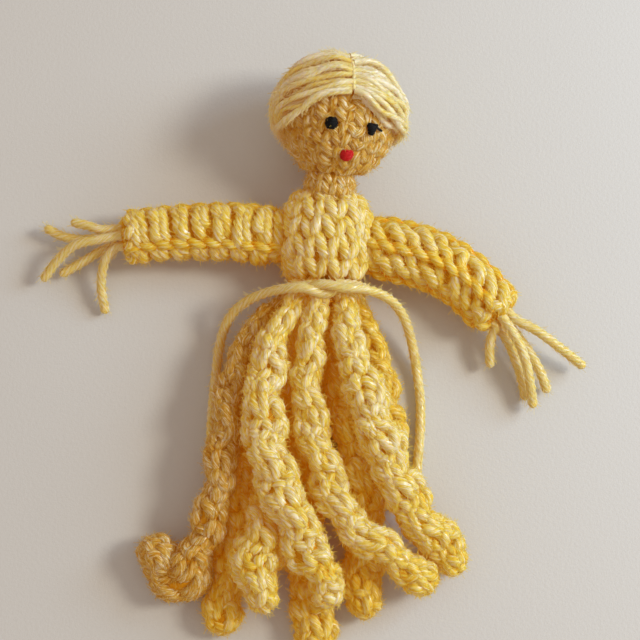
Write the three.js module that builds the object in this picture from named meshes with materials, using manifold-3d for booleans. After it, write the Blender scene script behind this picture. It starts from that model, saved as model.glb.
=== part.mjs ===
// A crocheted corn dolly lying on its back, in millimetres: head towards +Y, face up towards +Z.
// Left and right are the dolly's own, so its right arm points towards -X.
import * as THREE from "three";
import { mergeVertices } from "three/addons/utils/BufferGeometryUtils.js";
import Module from "manifold-3d";

const wasm = await Module();
wasm.setup();

// Yarn, fabric and fit
const YARN_RADIUS = 1.1;
const FABRIC_WALL = 2.2;
const CLEARANCE = 0.3;
const FLAT_DEPTH = 0.5; // how deep the table presses a soft underside flat

// Torso, with its waist at the origin's height
const TORSO_WIDTH = 19;
const TORSO_DEPTH = 16;
const TORSO_HEIGHT = 18.6;
const TORSO_OFFSET = 0.6; // the torso's centre, to the left of the waist's

// Yoke that gathers the skirt, and the yarn tied round it
const YOKE_HALF_WIDTH = 7.2;
const YOKE_HALF_DEPTH = 4.9;
const YOKE_BELOW = 1.2;
const YOKE_ABOVE = 2.2;
const TIE_LEVEL = 0.5;
const KNOT_HALF_WIDTH = 2.7;
const KNOT_HALF_LENGTH = 1.7;
const KNOT_HALF_HEIGHT = 2.3;
const KNOT_DROP = 0.7; // how far the knot hangs below the wrap

// Neck and head
const NECK_RADIUS = 4.8;
const NECK_PIVOT_OFFSET = 0.8; // the neck's centre, to the left of the torso's
const NECK_SHOWING = 1.2; // from the neck's centre to the chin
const HEAD_WIDTH = 22.2;
const HEAD_HEIGHT = 23.4;
const HEAD_DEPTH = 22;
const HEAD_LEAN = 8;
const HEAD_NOD = 13;
const HEAD_TURN = 12;
const HAIR_THICKNESS = 2.7;
const HAIRLINE_PEAK = 4.6; // above the head's centre
const NAPE_LEVEL = 6.6; // below the head's centre
const EYE_RADIUS = 1.25;
const EYE_SPACING = 8.1;
const FACE_SHIFT = 0.75; // towards the dolly's left
const EYE_DROP = 1.1; // below the head's centre
const LASH_RADIUS = 0.3;
const LASH_LENGTH = 1.55;
const MOUTH_RADIUS = 1.3;
const MOUTH_DROP = 6.6;
const THREAD_RADIUS = 0.4;

// Arms
const RIGHT_ARM_LENGTH = 28.4; // from the shoulder's axis out to the wrist
const LEFT_ARM_LENGTH = 22.3;
const ARM_WIDTH = 11.4;
const ARM_THICKNESS = 9;
const WRIST_WIDTH = 10.2;
const WRIST_THICKNESS = 8.4;
const SHOULDER_STANDOFF = 2.6; // from the torso's side out to the shoulder's axis
const RIGHT_SHOULDER_LEVEL = 12;
const LEFT_SHOULDER_LEVEL = 9.4;
const SHOULDER_HEIGHT = 6.8; // above the table
const ARM_CORE_RADIUS = 2.6;
const CORE_SHOWING = 0.6;
const FINGER_RADIUS = 1.0;
const FINGER_RING = 1.98; // the five yarn ends' centres lie on this circle

// Skirt of crocheted strands
const STRAND_RADIUS = 3.4;
const STRAND_TOP_RADIUS = 1.7;
const STRAND_FULL_AT = 0.38; // the share of a strand by which it has grown to its full radius
const TAPER_FROM = 0.86; // the share of a strand at which its end starts to taper
const SKIRT_LENGTH = 60;
const LANE = 2 * STRAND_RADIUS + CLEARANCE;

const TORSO_CENTRE_HEIGHT = TORSO_DEPTH / 2 - FLAT_DEPTH;
const WAIST_HEIGHT = TORSO_CENTRE_HEIGHT;
const TORSO_BASE = YOKE_ABOVE + CLEARANCE;
const HEAD_RISE = HEAD_HEIGHT / 2 + NECK_SHOWING;
const NOD = THREE.MathUtils.degToRad(HEAD_NOD);
const HEAD_CENTRE_HEIGHT = HEAD_DEPTH / 2 + HAIR_THICKNESS - FLAT_DEPTH;
const NECK_HEIGHT = HEAD_CENTRE_HEIGHT - HEAD_RISE * Math.sin(NOD);

const YARN_COLOUR = 0xe8c877;
const finish = (colour) => new THREE.MeshStandardMaterial({ color: colour, roughness: 0.85, metalness: 0 });
const YARN = finish(YARN_COLOUR);
const STUFFING = finish(0xf4f1e8);
const BLACK_THREAD = finish(0x15151a);
const RED_THREAD = finish(0xc81e1e);

const doll = new THREE.Group();
const torso = new THREE.Group();
const neck = new THREE.Group();
const head = new THREE.Group();
const rightArm = new THREE.Group();
const leftArm = new THREE.Group();
const skirt = new THREE.Group();

torso.position.set(TORSO_OFFSET, TORSO_BASE, TORSO_CENTRE_HEIGHT);
neck.position.set(TORSO_OFFSET + NECK_PIVOT_OFFSET, TORSO_BASE + TORSO_HEIGHT + CLEARANCE, NECK_HEIGHT);
neck.rotation.set(NOD, 0, -THREE.MathUtils.degToRad(HEAD_LEAN), "ZXY");
head.position.set(0, HEAD_RISE, 0);
head.rotation.y = THREE.MathUtils.degToRad(HEAD_TURN);
const shoulderReach = TORSO_WIDTH / 2 + SHOULDER_STANDOFF;
rightArm.position.set(TORSO_OFFSET - shoulderReach, RIGHT_SHOULDER_LEVEL, SHOULDER_HEIGHT);
leftArm.position.set(TORSO_OFFSET + shoulderReach, LEFT_SHOULDER_LEVEL, SHOULDER_HEIGHT);
neck.add(head);
doll.add(torso, neck, rightArm, leftArm, skirt);
doll.updateMatrixWorld(true);

// A closed geometry as a solid that can be cut.
function solidOf(geometry) {
  const bare = geometry.clone();
  bare.deleteAttribute("normal");
  bare.deleteAttribute("uv");
  const shared = mergeVertices(bare, 1e-4);
  const triVerts = [];
  for (let i = 0; i < shared.index.count; i += 3) {
    const [a, b, c] = shared.index.array.slice(i, i + 3);
    if (a !== b && b !== c && c !== a) triVerts.push(a, b, c);
  }
  const vertProperties = shared.attributes.position.array;
  return new wasm.Manifold(new wasm.Mesh({ numProp: 3, vertProperties, triVerts: Uint32Array.from(triVerts) }));
}

function geometryOf(solid) {
  const mesh = solid.getMesh();
  const geometry = new THREE.BufferGeometry();
  geometry.setAttribute("position", new THREE.BufferAttribute(mesh.vertProperties, 3));
  geometry.setIndex(new THREE.BufferAttribute(mesh.triVerts, 1));
  geometry.computeVertexNormals();
  return geometry;
}

function cut(geometry, ...tools) {
  return geometryOf(tools.reduce((left, tool) => left.subtract(solidOf(tool)), solidOf(geometry)));
}

// A geometry given in one group's frame, moved into another group's frame.
function seenFrom(group, source, geometry) {
  const move = group.matrixWorld.clone().invert().multiply(source.matrixWorld);
  return geometry.clone().applyMatrix4(move);
}

// Everything under the table's top, in a group's frame.
function belowTable(group) {
  const reach = 400;
  return seenFrom(group, doll, new THREE.BoxGeometry(reach, reach, reach).translate(0, 0, -reach / 2));
}

function piece(group, name, geometry, material) {
  const mesh = new THREE.Mesh(geometry, material);
  mesh.name = name;
  group.add(mesh);
  return mesh;
}

function ellipsoid(halfX, halfY, halfZ, around = 24, down = 16) {
  return new THREE.SphereGeometry(1, around, down).scale(halfX, halfY, halfZ);
}

const smooth = (points) => new THREE.CatmullRomCurve3(points.map((p) => new THREE.Vector3(...p)), false, "centripetal");

// A limb swept along a route. section(t) gives its half width, level with the table, and its half thickness.
function sweptLimb(route, section, { sides = 10, steps = 12, roundStart = false, roundEnd = false }) {
  const capRings = 2;
  const rings = [];
  const addRing = (t, beyond, scale) => {
    const along = route.getTangentAt(t);
    const centre = route.getPointAt(t).addScaledVector(along, beyond);
    const across = new THREE.Vector3().crossVectors(along, new THREE.Vector3(0, 0, 1)).normalize();
    const up = new THREE.Vector3().crossVectors(across, along);
    const [halfWidth, halfThickness] = section(t);
    rings.push({ centre, across, up, halfWidth: halfWidth * scale, halfThickness: halfThickness * scale });
  };
  const capAngles = Array.from({ length: capRings }, (_, i) => ((i + 1) / (capRings + 1)) * (Math.PI / 2));
  if (roundStart) capAngles.forEach((a) => addRing(0, -section(0)[0] * Math.cos(a), Math.sin(a)));
  for (let i = 0; i <= steps; i += 1) addRing(i / steps, 0, 1);
  if (roundEnd) capAngles.toReversed().forEach((a) => addRing(1, section(1)[0] * Math.cos(a), Math.sin(a)));

  const positions = [];
  rings.forEach(({ centre, across, up, halfWidth, halfThickness }) => {
    for (let k = 0; k < sides; k += 1) {
      const turn = (2 * Math.PI * k) / sides;
      const point = centre
        .clone()
        .addScaledVector(across, halfWidth * Math.cos(turn))
        .addScaledVector(up, halfThickness * Math.sin(turn));
      positions.push(...point.toArray());
    }
  });
  const startTip = route.getPointAt(0).addScaledVector(route.getTangentAt(0), roundStart ? -section(0)[0] : 0);
  const endTip = route.getPointAt(1).addScaledVector(route.getTangentAt(1), roundEnd ? section(1)[0] : 0);
  positions.push(...startTip.toArray(), ...endTip.toArray());
  const startIndex = rings.length * sides;
  const lastRing = (rings.length - 1) * sides;
  const triangles = [];
  for (let k = 0; k < sides; k += 1) {
    const next = (k + 1) % sides;
    triangles.push(startIndex, k, next, startIndex + 1, lastRing + next, lastRing + k);
    for (let r = 0; r < rings.length - 1; r += 1) {
      const here = r * sides;
      const beyond = here + sides;
      triangles.push(here + k, beyond + k, beyond + next, here + k, beyond + next, here + next);
    }
  }
  const geometry = new THREE.BufferGeometry();
  geometry.setAttribute("position", new THREE.Float32BufferAttribute(positions, 3));
  geometry.setIndex(triangles);
  geometry.computeVertexNormals();
  return geometry;
}

const roundSection = (radius) => () => [radius, radius];
const ease = (t) => THREE.MathUtils.smoothstep(t, 0, 1);

// A part of a route from t = from to its end, run on past the end in a straight line.
function stretchOf(route, from, runOn, count = 8) {
  const points = Array.from({ length: count }, (_, i) => {
    return route.getPointAt(THREE.MathUtils.lerp(from, 1, i / (count - 1)));
  });
  points.push(route.getPointAt(1).addScaledVector(route.getTangentAt(1), runOn));
  return new THREE.CatmullRomCurve3(points, false, "centripetal");
}

const neckSocket = new THREE.SphereGeometry(NECK_RADIUS + CLEARANCE, 16, 10);

// Head: a crocheted ball with stuffing inside, sewn features and two swept halves of hair.
function buildHead() {
  const halfWidth = HEAD_WIDTH / 2;
  const halfHeight = HEAD_HEIGHT / 2;
  const halfDepth = HEAD_DEPTH / 2;
  const arc = (inset, from, to, count) => Array.from({ length: count + 1 }, (_, i) => {
    const angle = THREE.MathUtils.lerp(from, to, i / count);
    return new THREE.Vector2((halfWidth - inset) * Math.cos(angle), (halfHeight - inset) * Math.sin(angle));
  });
  const top = Math.PI / 2;
  const rim = -Math.acos(NECK_RADIUS / halfWidth);
  const closed = (points) => {
    points[0].x = 0;
    points[points.length - 1].x = 0;
    return points;
  };
  const shellProfile = closed([...arc(FABRIC_WALL, top, rim, 7), ...arc(0, rim, top, 9)]);
  const socket = seenFrom(head, neck, neckSocket);
  const depthShare = HEAD_DEPTH / HEAD_WIDTH;
  const shell = new THREE.LatheGeometry(shellProfile, 22).scale(1, 1, depthShare);
  piece(head, "head_shell", cut(shell, socket), YARN);

  const inset = FABRIC_WALL + CLEARANCE;
  const stuffing = ellipsoid(halfWidth - inset, halfHeight - inset, halfDepth - inset, 14, 9);
  piece(head, "head_stuffing", cut(stuffing, socket), STUFFING);

  const grown = (by) => ellipsoid(halfWidth + by, halfHeight + by, halfDepth + by, 22, 14);
  const onFace = (x, y, by) => {
    const share = 1 - (x / (halfWidth + by)) ** 2 - (y / (halfHeight + by)) ** 2;
    return new THREE.Vector3(x, y, (halfDepth + by) * Math.sqrt(share));
  };
  const sewnDot = (name, x, y, radius, material) => {
    const at = onFace(x, y, CLEARANCE);
    const dot = ellipsoid(radius, radius, radius, 10, 8).translate(at.x, at.y, at.z);
    piece(head, name, cut(dot, grown(CLEARANCE)), material);
  };
  sewnDot("eye_right", FACE_SHIFT - EYE_SPACING / 2, -EYE_DROP, EYE_RADIUS, BLACK_THREAD);
  sewnDot("eye_left", FACE_SHIFT + EYE_SPACING / 2, -EYE_DROP, EYE_RADIUS, BLACK_THREAD);
  sewnDot("mouth", FACE_SHIFT, -MOUTH_DROP, MOUTH_RADIUS, RED_THREAD);

  const lashStart = FACE_SHIFT + EYE_SPACING / 2 + EYE_RADIUS + CLEARANCE;
  const lashLift = CLEARANCE + LASH_RADIUS;
  const lashPoints = [0, 0.5, 1].map((t) => {
    return onFace(lashStart + t * LASH_LENGTH, -EYE_DROP + 0.3 * LASH_LENGTH * t, lashLift).toArray();
  });
  const lash = sweptLimb(smooth(lashPoints), roundSection(LASH_RADIUS), { sides: 6, steps: 4, roundEnd: true });
  piece(head, "eye_left_lash", lash, BLACK_THREAD);
  buildHair(grown, socket);
}

function buildHair(grown, socket) {
  const reach = 2 * HEAD_HEIGHT;
  const cheek = HEAD_WIDTH / 2 + CLEARANCE;
  const templeLevel = -HAIRLINE_PEAK / 2;
  const face = new THREE.Shape();
  face.moveTo(0, HAIRLINE_PEAK);
  face.quadraticCurveTo(-0.55 * cheek, HAIRLINE_PEAK / 2, -0.88 * cheek, templeLevel);
  face.quadraticCurveTo(-cheek, 2 * templeLevel, -cheek, -NAPE_LEVEL);
  face.lineTo(-cheek, -reach);
  face.lineTo(cheek, -reach);
  face.lineTo(cheek, -NAPE_LEVEL);
  face.quadraticCurveTo(cheek, 2 * templeLevel, 0.88 * cheek, templeLevel);
  face.quadraticCurveTo(0.55 * cheek, HAIRLINE_PEAK / 2, 0, HAIRLINE_PEAK);
  const openFront = HEAD_DEPTH / 12;
  const faceWindow = new THREE.ExtrudeGeometry(face, { depth: reach, bevelEnabled: false, curveSegments: 6 });
  faceWindow.translate(0, 0, openFront);
  const belowNape = new THREE.BoxGeometry(reach, reach, reach).translate(0, -NAPE_LEVEL - reach / 2, 0);
  const otherHalf = (side) => {
    return new THREE.BoxGeometry(reach, reach, reach).translate(side * (reach / 2 - CLEARANCE / 2), 0, 0);
  };
  const cap = cut(grown(HAIR_THICKNESS), grown(CLEARANCE), faceWindow, belowNape, socket, belowTable(head));
  piece(head, "hair_right", cut(cap, otherHalf(1)), YARN);
  piece(head, "hair_left", cut(cap, otherHalf(-1)), YARN);

  const lift = HAIR_THICKNESS + CLEARANCE + THREAD_RADIUS;
  const crown = THREE.MathUtils.degToRad(100);
  const hairline = Math.asin(HAIRLINE_PEAK / (HEAD_HEIGHT / 2 + lift)) + CLEARANCE / 2;
  const parting = [0, 0.25, 0.5, 0.75, 1].map((t) => {
    const angle = THREE.MathUtils.lerp(hairline, crown, t);
    return [0, (HEAD_HEIGHT / 2 + lift) * Math.sin(angle), (HEAD_DEPTH / 2 + lift) * Math.cos(angle)];
  });
  const level = { sides: 6, steps: 8, roundStart: true, roundEnd: true };
  // The thread's route stands in the head's middle plane, so it is swept flat and turned upright.
  const lying = parting.map(([, y, z]) => [z, y, 0]);
  const thread = sweptLimb(smooth(lying), roundSection(THREAD_RADIUS), level).rotateY(-Math.PI / 2);
  piece(head, "parting_thread", thread, YARN);
}

// Torso: a crocheted barrel with stuffing inside, hollowed where the neck and the arms sit in it.
function buildTorso(shoulders) {
  const half = TORSO_WIDTH / 2;
  const outline = (inset) => new THREE.SplineCurve([
    new THREE.Vector2(0.77 * half - inset, 0),
    new THREE.Vector2(0.95 * half - inset, 0.2 * TORSO_HEIGHT),
    new THREE.Vector2(half - inset, 0.5 * TORSO_HEIGHT),
    new THREE.Vector2(0.94 * half - inset, 0.74 * TORSO_HEIGHT),
    new THREE.Vector2(0.72 * half - inset, 0.92 * TORSO_HEIGHT),
    new THREE.Vector2(0, TORSO_HEIGHT - inset / 2),
  ]).getPoints(10);
  const outer = outline(0);
  const inner = outline(FABRIC_WALL).filter((point) => point.x > 0 && point.y < TORSO_HEIGHT - FABRIC_WALL);
  const roof = new THREE.Vector2(0, TORSO_HEIGHT - FABRIC_WALL);
  const profile = [roof, ...inner.toReversed(), ...outer];
  profile[profile.length - 1].x = 0;
  const depthShare = TORSO_DEPTH / TORSO_WIDTH;
  const shell = new THREE.LatheGeometry(profile, 22).scale(1, 1, depthShare);
  const socket = seenFrom(torso, neck, neckSocket);
  const pockets = shoulders.map(([group, pocket]) => seenFrom(torso, group, pocket));
  piece(torso, "torso_shell", cut(shell, socket, ...pockets, belowTable(torso)), YARN);

  const fillBase = CLEARANCE;
  const fill = inner.map((point) => new THREE.Vector2(point.x - CLEARANCE, Math.max(point.y, fillBase)));
  const fillTop = new THREE.Vector2(0, TORSO_HEIGHT - FABRIC_WALL - CLEARANCE);
  const fillProfile = [new THREE.Vector2(0, fillBase), ...fill.filter((p) => p.y < fillTop.y), fillTop];
  const stuffing = new THREE.LatheGeometry(fillProfile, 14).scale(1, 1, depthShare);
  piece(torso, "torso_stuffing", cut(stuffing, socket, ...pockets), STUFFING);
  piece(neck, "neck", new THREE.SphereGeometry(NECK_RADIUS, 16, 10), YARN);
}

// An arm: a crocheted sleeve over a core of yarn, whose five loose ends are the fingers.
function buildArm(group, side, length, routeShares, fingerPoints) {
  const route = smooth(routeShares.map((share) => share.map((part) => part * length)));
  const sleeveSection = (t) => [
    THREE.MathUtils.lerp(ARM_WIDTH, WRIST_WIDTH, ease(t)) / 2,
    THREE.MathUtils.lerp(ARM_THICKNESS, WRIST_THICKNESS, ease(t)) / 2,
  ];
  const sleeve = sweptLimb(route, sleeveSection, { sides: 14, steps: 8, roundStart: true });
  const coreStart = 0.12;
  const boreRoute = stretchOf(route, coreStart, CORE_SHOWING + ARM_WIDTH);
  const bore = sweptLimb(boreRoute, roundSection(ARM_CORE_RADIUS + CLEARANCE), { sides: 10, steps: 8 });
  piece(group, `${side}_sleeve`, cut(sleeve, bore), YARN);

  const slack = CLEARANCE / route.getLength();
  const coreRoute = stretchOf(route, coreStart + slack, CORE_SHOWING);
  const core = sweptLimb(coreRoute, roundSection(ARM_CORE_RADIUS), { sides: 10, steps: 7 });
  piece(group, `${side}_arm_core`, core, YARN);

  const outward = coreRoute.getTangentAt(1);
  const wrist = coreRoute.getPointAt(1).addScaledVector(outward, CLEARANCE);
  const across = new THREE.Vector3().crossVectors(new THREE.Vector3(0, 0, 1), outward).normalize();
  const above = new THREE.Vector3().crossVectors(outward, across);
  fingerPoints.forEach(({ seat, bends }, i) => {
    const turn = THREE.MathUtils.degToRad(seat);
    const root = wrist
      .clone()
      .addScaledVector(across, FINGER_RING * Math.cos(turn))
      .addScaledVector(above, FINGER_RING * Math.sin(turn));
    const straight = root.clone().addScaledVector(outward, FINGER_RADIUS);
    const points = [root.toArray(), straight.toArray()];
    bends.forEach((bend) => points.push(wrist.clone().add(new THREE.Vector3(...bend)).toArray()));
    const finger = sweptLimb(smooth(points), roundSection(FINGER_RADIUS), { sides: 8, steps: 6, roundEnd: true });
    piece(group, `${side}_finger_${i + 1}`, finger, YARN);
  });
  const pocketHalfWidth = ARM_WIDTH / 2 + CLEARANCE;
  return ellipsoid(pocketHalfWidth, pocketHalfWidth, ARM_THICKNESS / 2 + CLEARANCE, 16, 10);
}

// Waist: the yoke under the torso, the yarn tied once round it, its knot and its two loose ends.
function buildWaist() {
  const yoke = new THREE.CylinderGeometry(1, 1, YOKE_ABOVE + YOKE_BELOW, 26);
  yoke.scale(YOKE_HALF_WIDTH, 1, YOKE_HALF_DEPTH);
  yoke.translate(0, (YOKE_ABOVE - YOKE_BELOW) / 2, WAIST_HEIGHT);
  piece(skirt, "skirt_yoke", yoke, YARN);

  const offset = CLEARANCE + YARN_RADIUS;
  const halfGap = (KNOT_HALF_WIDTH + CLEARANCE) / (YOKE_HALF_WIDTH + offset);
  const turns = 24;
  const around = Array.from({ length: turns + 1 }, (_, i) => {
    const angle = Math.PI / 2 + THREE.MathUtils.lerp(halfGap, 2 * Math.PI - halfGap, i / turns);
    const x = (YOKE_HALF_WIDTH + offset) * Math.cos(angle);
    return [x, TIE_LEVEL, WAIST_HEIGHT + (YOKE_HALF_DEPTH + offset) * Math.sin(angle)];
  });
  // The ring stands upright, so it is swept lying down and turned up.
  const lying = around.map(([x, y, z]) => [x, -z, y]);
  const ring = sweptLimb(smooth(lying), roundSection(YARN_RADIUS), { sides: 8, steps: turns });
  piece(skirt, "waist_wrap", ring.rotateX(-Math.PI / 2), YARN);
  const ends = [around[0], around[turns]].map((p) => new THREE.Vector3(...p));
  console.log("waist_wrap: gap between its ends", (ends[0].distanceTo(ends[1]) - 2 * YARN_RADIUS).toFixed(2), "mm");

  const front = WAIST_HEIGHT + YOKE_HALF_DEPTH + offset;
  const tails = [
    ["waist_tail_right", [
      [-3.6, -0.6, 15.7], [-5.4, -0.6, 15.4], [-8.2, -0.6, 14.0], [-11.6, -1.0, 11.9], [-15.2, -2.1, 9.5],
      [-18.2, -4.1, 6.9], [-20.2, -7.4, 4.3], [-21.3, -11.8, 2.4], [-21.9, -17.0, 1.5], [-22.4, -22.6, 1.3],
      [-22.6, -28.0, 1.3], [-22.5, -32.8, 1.3],
    ]],
    ["waist_tail_left", [
      [3.6, -0.6, 15.7], [5.4, -0.6, 15.4], [8.2, -0.6, 14.0], [11.6, -1.2, 11.7], [14.6, -2.8, 8.9],
      [16.7, -5.8, 6.0], [18.1, -10.2, 3.4], [19.0, -15.2, 1.8], [19.6, -21.0, 1.4], [19.5, -27.6, 1.3],
      [18.9, -34.0, 1.3], [18.5, -39.0, 1.3],
    ]],
  ].map(([name, points]) => [name, smooth(points)]);
  tails.forEach(([name, route]) => {
    const tail = sweptLimb(route, roundSection(YARN_RADIUS), { sides: 8, steps: 18, roundEnd: true });
    piece(skirt, name, tail, YARN);
    console.log(`${name}: length`, route.getLength().toFixed(1), "mm");
  });
  const knot = ellipsoid(KNOT_HALF_WIDTH, KNOT_HALF_LENGTH, KNOT_HALF_HEIGHT, 12, 8);
  knot.translate(0, TIE_LEVEL - KNOT_DROP, front + CLEARANCE);
  const grown = roundSection(YARN_RADIUS + CLEARANCE);
  const ringRoom = sweptLimb(smooth(lying), grown, { sides: 8, steps: turns }).rotateX(-Math.PI / 2);
  const tailRoom = tails.map(([, route]) => sweptLimb(route, grown, { sides: 8, steps: 18, roundStart: true }));
  const yokeRoom = yoke.clone().translate(0, 0, -WAIST_HEIGHT);
  yokeRoom.scale(1 + CLEARANCE / YOKE_HALF_WIDTH, 1, 1 + CLEARANCE / YOKE_HALF_DEPTH).translate(0, 0, WAIST_HEIGHT);
  piece(skirt, "waist_knot", cut(knot, ringRoom, yokeRoom, ...tailRoom), YARN);
}

// A skirt strand hangs from its seat on the yoke. Its bends are given as lanes across the skirt, shares of
// the skirt's length down from the waist, and layers up from the table, so that wider strands stay apart.
function buildStrand({ name, seat, bends, fullness, knob = 1, tip = 1 }) {
  const [seatAcross, seatUp] = seat;
  const fullRadius = fullness * STRAND_RADIUS;
  const top = [
    seatAcross * YOKE_HALF_WIDTH,
    -(YOKE_BELOW + CLEARANCE + STRAND_TOP_RADIUS),
    WAIST_HEIGHT + seatUp * YOKE_HALF_DEPTH,
  ];
  const points = bends.map(([lane, drop, layer]) => {
    return [lane * LANE, -drop * SKIRT_LENGTH, STRAND_RADIUS - FLAT_DEPTH + layer * LANE];
  });
  const route = smooth([top, ...points]);
  const section = (t) => {
    const grow = THREE.MathUtils.smoothstep(t, 0, STRAND_FULL_AT);
    const swell = 1 + (knob - 1) * THREE.MathUtils.smoothstep(t, 0.72, 0.9);
    const taper = THREE.MathUtils.lerp(1, tip, THREE.MathUtils.smoothstep(t, TAPER_FROM, 1));
    const radius = THREE.MathUtils.lerp(STRAND_TOP_RADIUS, fullRadius * swell * taper, grow);
    return [radius, radius];
  };
  const strand = sweptLimb(route, section, { sides: 10, steps: 13, roundStart: true, roundEnd: true });
  piece(skirt, name, cut(strand, belowTable(skirt)), YARN);
}

const STRANDS = [
  {
    name: "skirt_front_1", seat: [-1.1, -0.04], fullness: 0.86, knob: 1.3, tip: 0.8, bends: [
      [-1.52, 0.08, 0.75], [-2.04, 0.153, 0.79], [-2.36, 0.25, 0.8], [-2.59, 0.363, 0.8], [-2.75, 0.527, 0.81],
      [-2.98, 0.7, 0.74], [-3.34, 0.823, 0.5], [-3.8, 0.925, 0.24], [-4.36, 0.92, 0.15], [-4.64, 0.862, 0.12],
    ],
  },
  {
    name: "skirt_front_2", seat: [-0.72, 0.64], fullness: 1.14, tip: 0.82, bends: [
      [-1.32, 0.16, 1.3], [-1.62, 0.31, 1.32], [-1.68, 0.427, 1.36], [-1.46, 0.577, 1.4], [-0.92, 0.727, 1.4],
      [-0.44, 0.847, 1.16], [-0.02, 0.937, 1.0], [0.16, 0.983, 0.94],
    ],
  },
  {
    name: "skirt_front_3", seat: [-0.17, 0.8], fullness: 0.9, bends: [
      [-0.32, 0.16, 1.3], [-0.46, 0.327, 1.22], [-0.32, 0.46, 1.12], [0.08, 0.61, 1.06], [0.64, 0.76, 1.12],
      [1.5, 0.843, 1.06], [2.32, 0.91, 0.7], [2.68, 0.95, 0.5],
    ],
  },
  {
    name: "skirt_front_4", seat: [0.6, 0.68], fullness: 1.1, bends: [
      [0.7, 0.177, 1.3], [1.08, 0.327, 1.3], [1.44, 0.46, 1.24], [1.92, 0.61, 1.1], [2.48, 0.727, 0.84],
      [3.1, 0.817, 0.5], [3.56, 0.87, 0.3],
    ],
  },
  {
    name: "skirt_middle_1", seat: [-0.36, -0.02], fullness: 0.74, knob: 1.95, tip: 0.72, bends: [
      [-0.94, 0.15, 0.54], [-1.16, 0.3, 0.4], [-1.4, 0.467, 0.3], [-1.56, 0.633, 0.5], [-1.72, 0.783, 0.84],
      [-1.78, 0.923, 0.9], [-1.74, 1, 0.88],
    ],
  },
  {
    name: "skirt_back_1", seat: [-0.72, -0.64], fullness: 0.9, bends: [
      [-1.6, 0.2, 0.1], [-2.0, 0.36, 0.0], [-2.16, 0.527, -0.03], [-2.3, 0.683, -0.05], [-2.42, 0.833, -0.05],
      [-2.62, 0.95, -0.05], [-2.76, 1.06, -0.05],
    ],
  },
  {
    name: "skirt_back_2", seat: [-0.14, -0.76], fullness: 0.94, bends: [
      [-0.28, 0.167, 0.02], [-0.38, 0.333, 0.0], [-0.54, 0.583, -0.03], [-0.52, 0.833, -0.03], [-0.36, 1.017, -0.03],
      [-0.26, 1.123, -0.03],
    ],
  },
  {
    name: "skirt_back_3", seat: [0.39, -0.72], fullness: 0.94, bends: [
      [0.46, 0.167, 0.08], [0.64, 0.35, 0.28], [0.98, 0.53, 0.42], [1.08, 0.66, 0.22], [1.08, 0.77, 0.04],
      [1.1, 0.9, -0.02], [1.1, 1.017, -0.03],
    ],
  },
  {
    name: "skirt_back_4", seat: [0.89, -0.18], fullness: 0.9, bends: [
      [1.32, 0.16, 0.26], [1.66, 0.36, 0.04], [1.84, 0.467, -0.05], [1.92, 0.577, -0.05], [1.94, 0.643, -0.05],
    ],
  },
];

// The arms' middle lines from the shoulder, as shares of the arm's length, and the fingers' bends from the wrist.
const RIGHT_ARM_ROUTE = [
  [0, 0, 0], [-0.211, 0.022, 0.004], [-0.563, 0.026, -0.007], [-0.901, 0.003, -0.021], [-1, -0.006, -0.028],
];
const LEFT_ARM_ROUTE = [
  [0, 0, 0], [0.386, -0.103, 0.004], [0.695, -0.278, -0.009], [0.919, -0.502, -0.027], [1, -0.601, -0.035],
];
const RIGHT_FINGERS = [
  { seat: 162, bends: [[-4.4, 1.6, 0.77], [-7.2, 2.5, 0.6], [-10.6, 3.4, 0]] },
  { seat: 234, bends: [[-5.2, 0.4, -1.63], [-9.2, 0.3, -2.32], [-12.8, 1.1, -2.75], [-16.4, 3, -2.92]] },
  { seat: 90, bends: [[-5.2, -0.8, 1.63], [-9.2, -1.6, 0.86], [-12.6, -3.8, -0.69], [-16.6, -8.2, -3.27]] },
  { seat: 306, bends: [[-4.0, -2.0, -1.98], [-7.0, -3.5, -2.75], [-10.2, -5.2, -3.61], [-13.2, -6.8, -4.13]] },
  { seat: 18, bends: [[-2.9, -3.6, 0], [-4.0, -6.2, -1.2], [-4.4, -9.8, -2.92], [-3.6, -14.8, -4.64]] },
];
const LEFT_FINGERS = [
  { seat: 18, bends: [[3.6, -0.8, 0.6], [7.4, -2.8, 0.34], [12.6, -6.4, -1.03], [17.2, -9.8, -2.41]] },
  { seat: 306, bends: [[3.4, -3.0, -1.89], [5.8, -6.2, -2.41], [8.2, -10.4, -3.1], [9.8, -14.8, -3.78]] },
  { seat: 90, bends: [[2.4, -3.4, 1.55], [4.4, -7.2, 0.69], [5.8, -12.4, -1.03], [6.7, -18.0, -2.92]] },
  { seat: 234, bends: [[1.6, -4.4, -1.89], [3.4, -8.4, -2.92], [4.8, -12.8, -3.96], [5.3, -16.2, -4.64]] },
  { seat: 162, bends: [[-1.4, -3.0, -0.34], [-2.0, -5.8, -1.38], [-1.8, -9.8, -2.92]] },
];

buildHead();
const rightPocket = buildArm(rightArm, "right", RIGHT_ARM_LENGTH, RIGHT_ARM_ROUTE, RIGHT_FINGERS);
const leftPocket = buildArm(leftArm, "left", LEFT_ARM_LENGTH, LEFT_ARM_ROUTE, LEFT_FINGERS);
buildTorso([[rightArm, rightPocket], [leftArm, leftPocket]]);
buildWaist();
STRANDS.forEach(buildStrand);

// The origin lies on the table, under the middle of the whole dolly.
const box = new THREE.Box3().setFromObject(doll, true);
const middle = box.getCenter(new THREE.Vector3());
doll.position.set(-middle.x, -middle.y, 0);

const part = new THREE.Group();
part.add(doll);
export default part;
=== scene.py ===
"""Dresses the crocheted corn dolly.

Every stitch, hair strand, finger and tie is a path that one Geometry Nodes tree spins into plied yarn.
Places and sizes are in millimetres in the dolly's own frame, whose origin is the middle of the waist on the
table, and become metres of the shared frame when a mesh is made.
"""

import logging
import math
from dataclasses import dataclass, field
from enum import Enum, IntEnum
from typing import Any, Callable, Optional, Sequence, Union

import bmesh
import bpy
import numpy as np
from mathutils import Matrix, Vector


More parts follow.
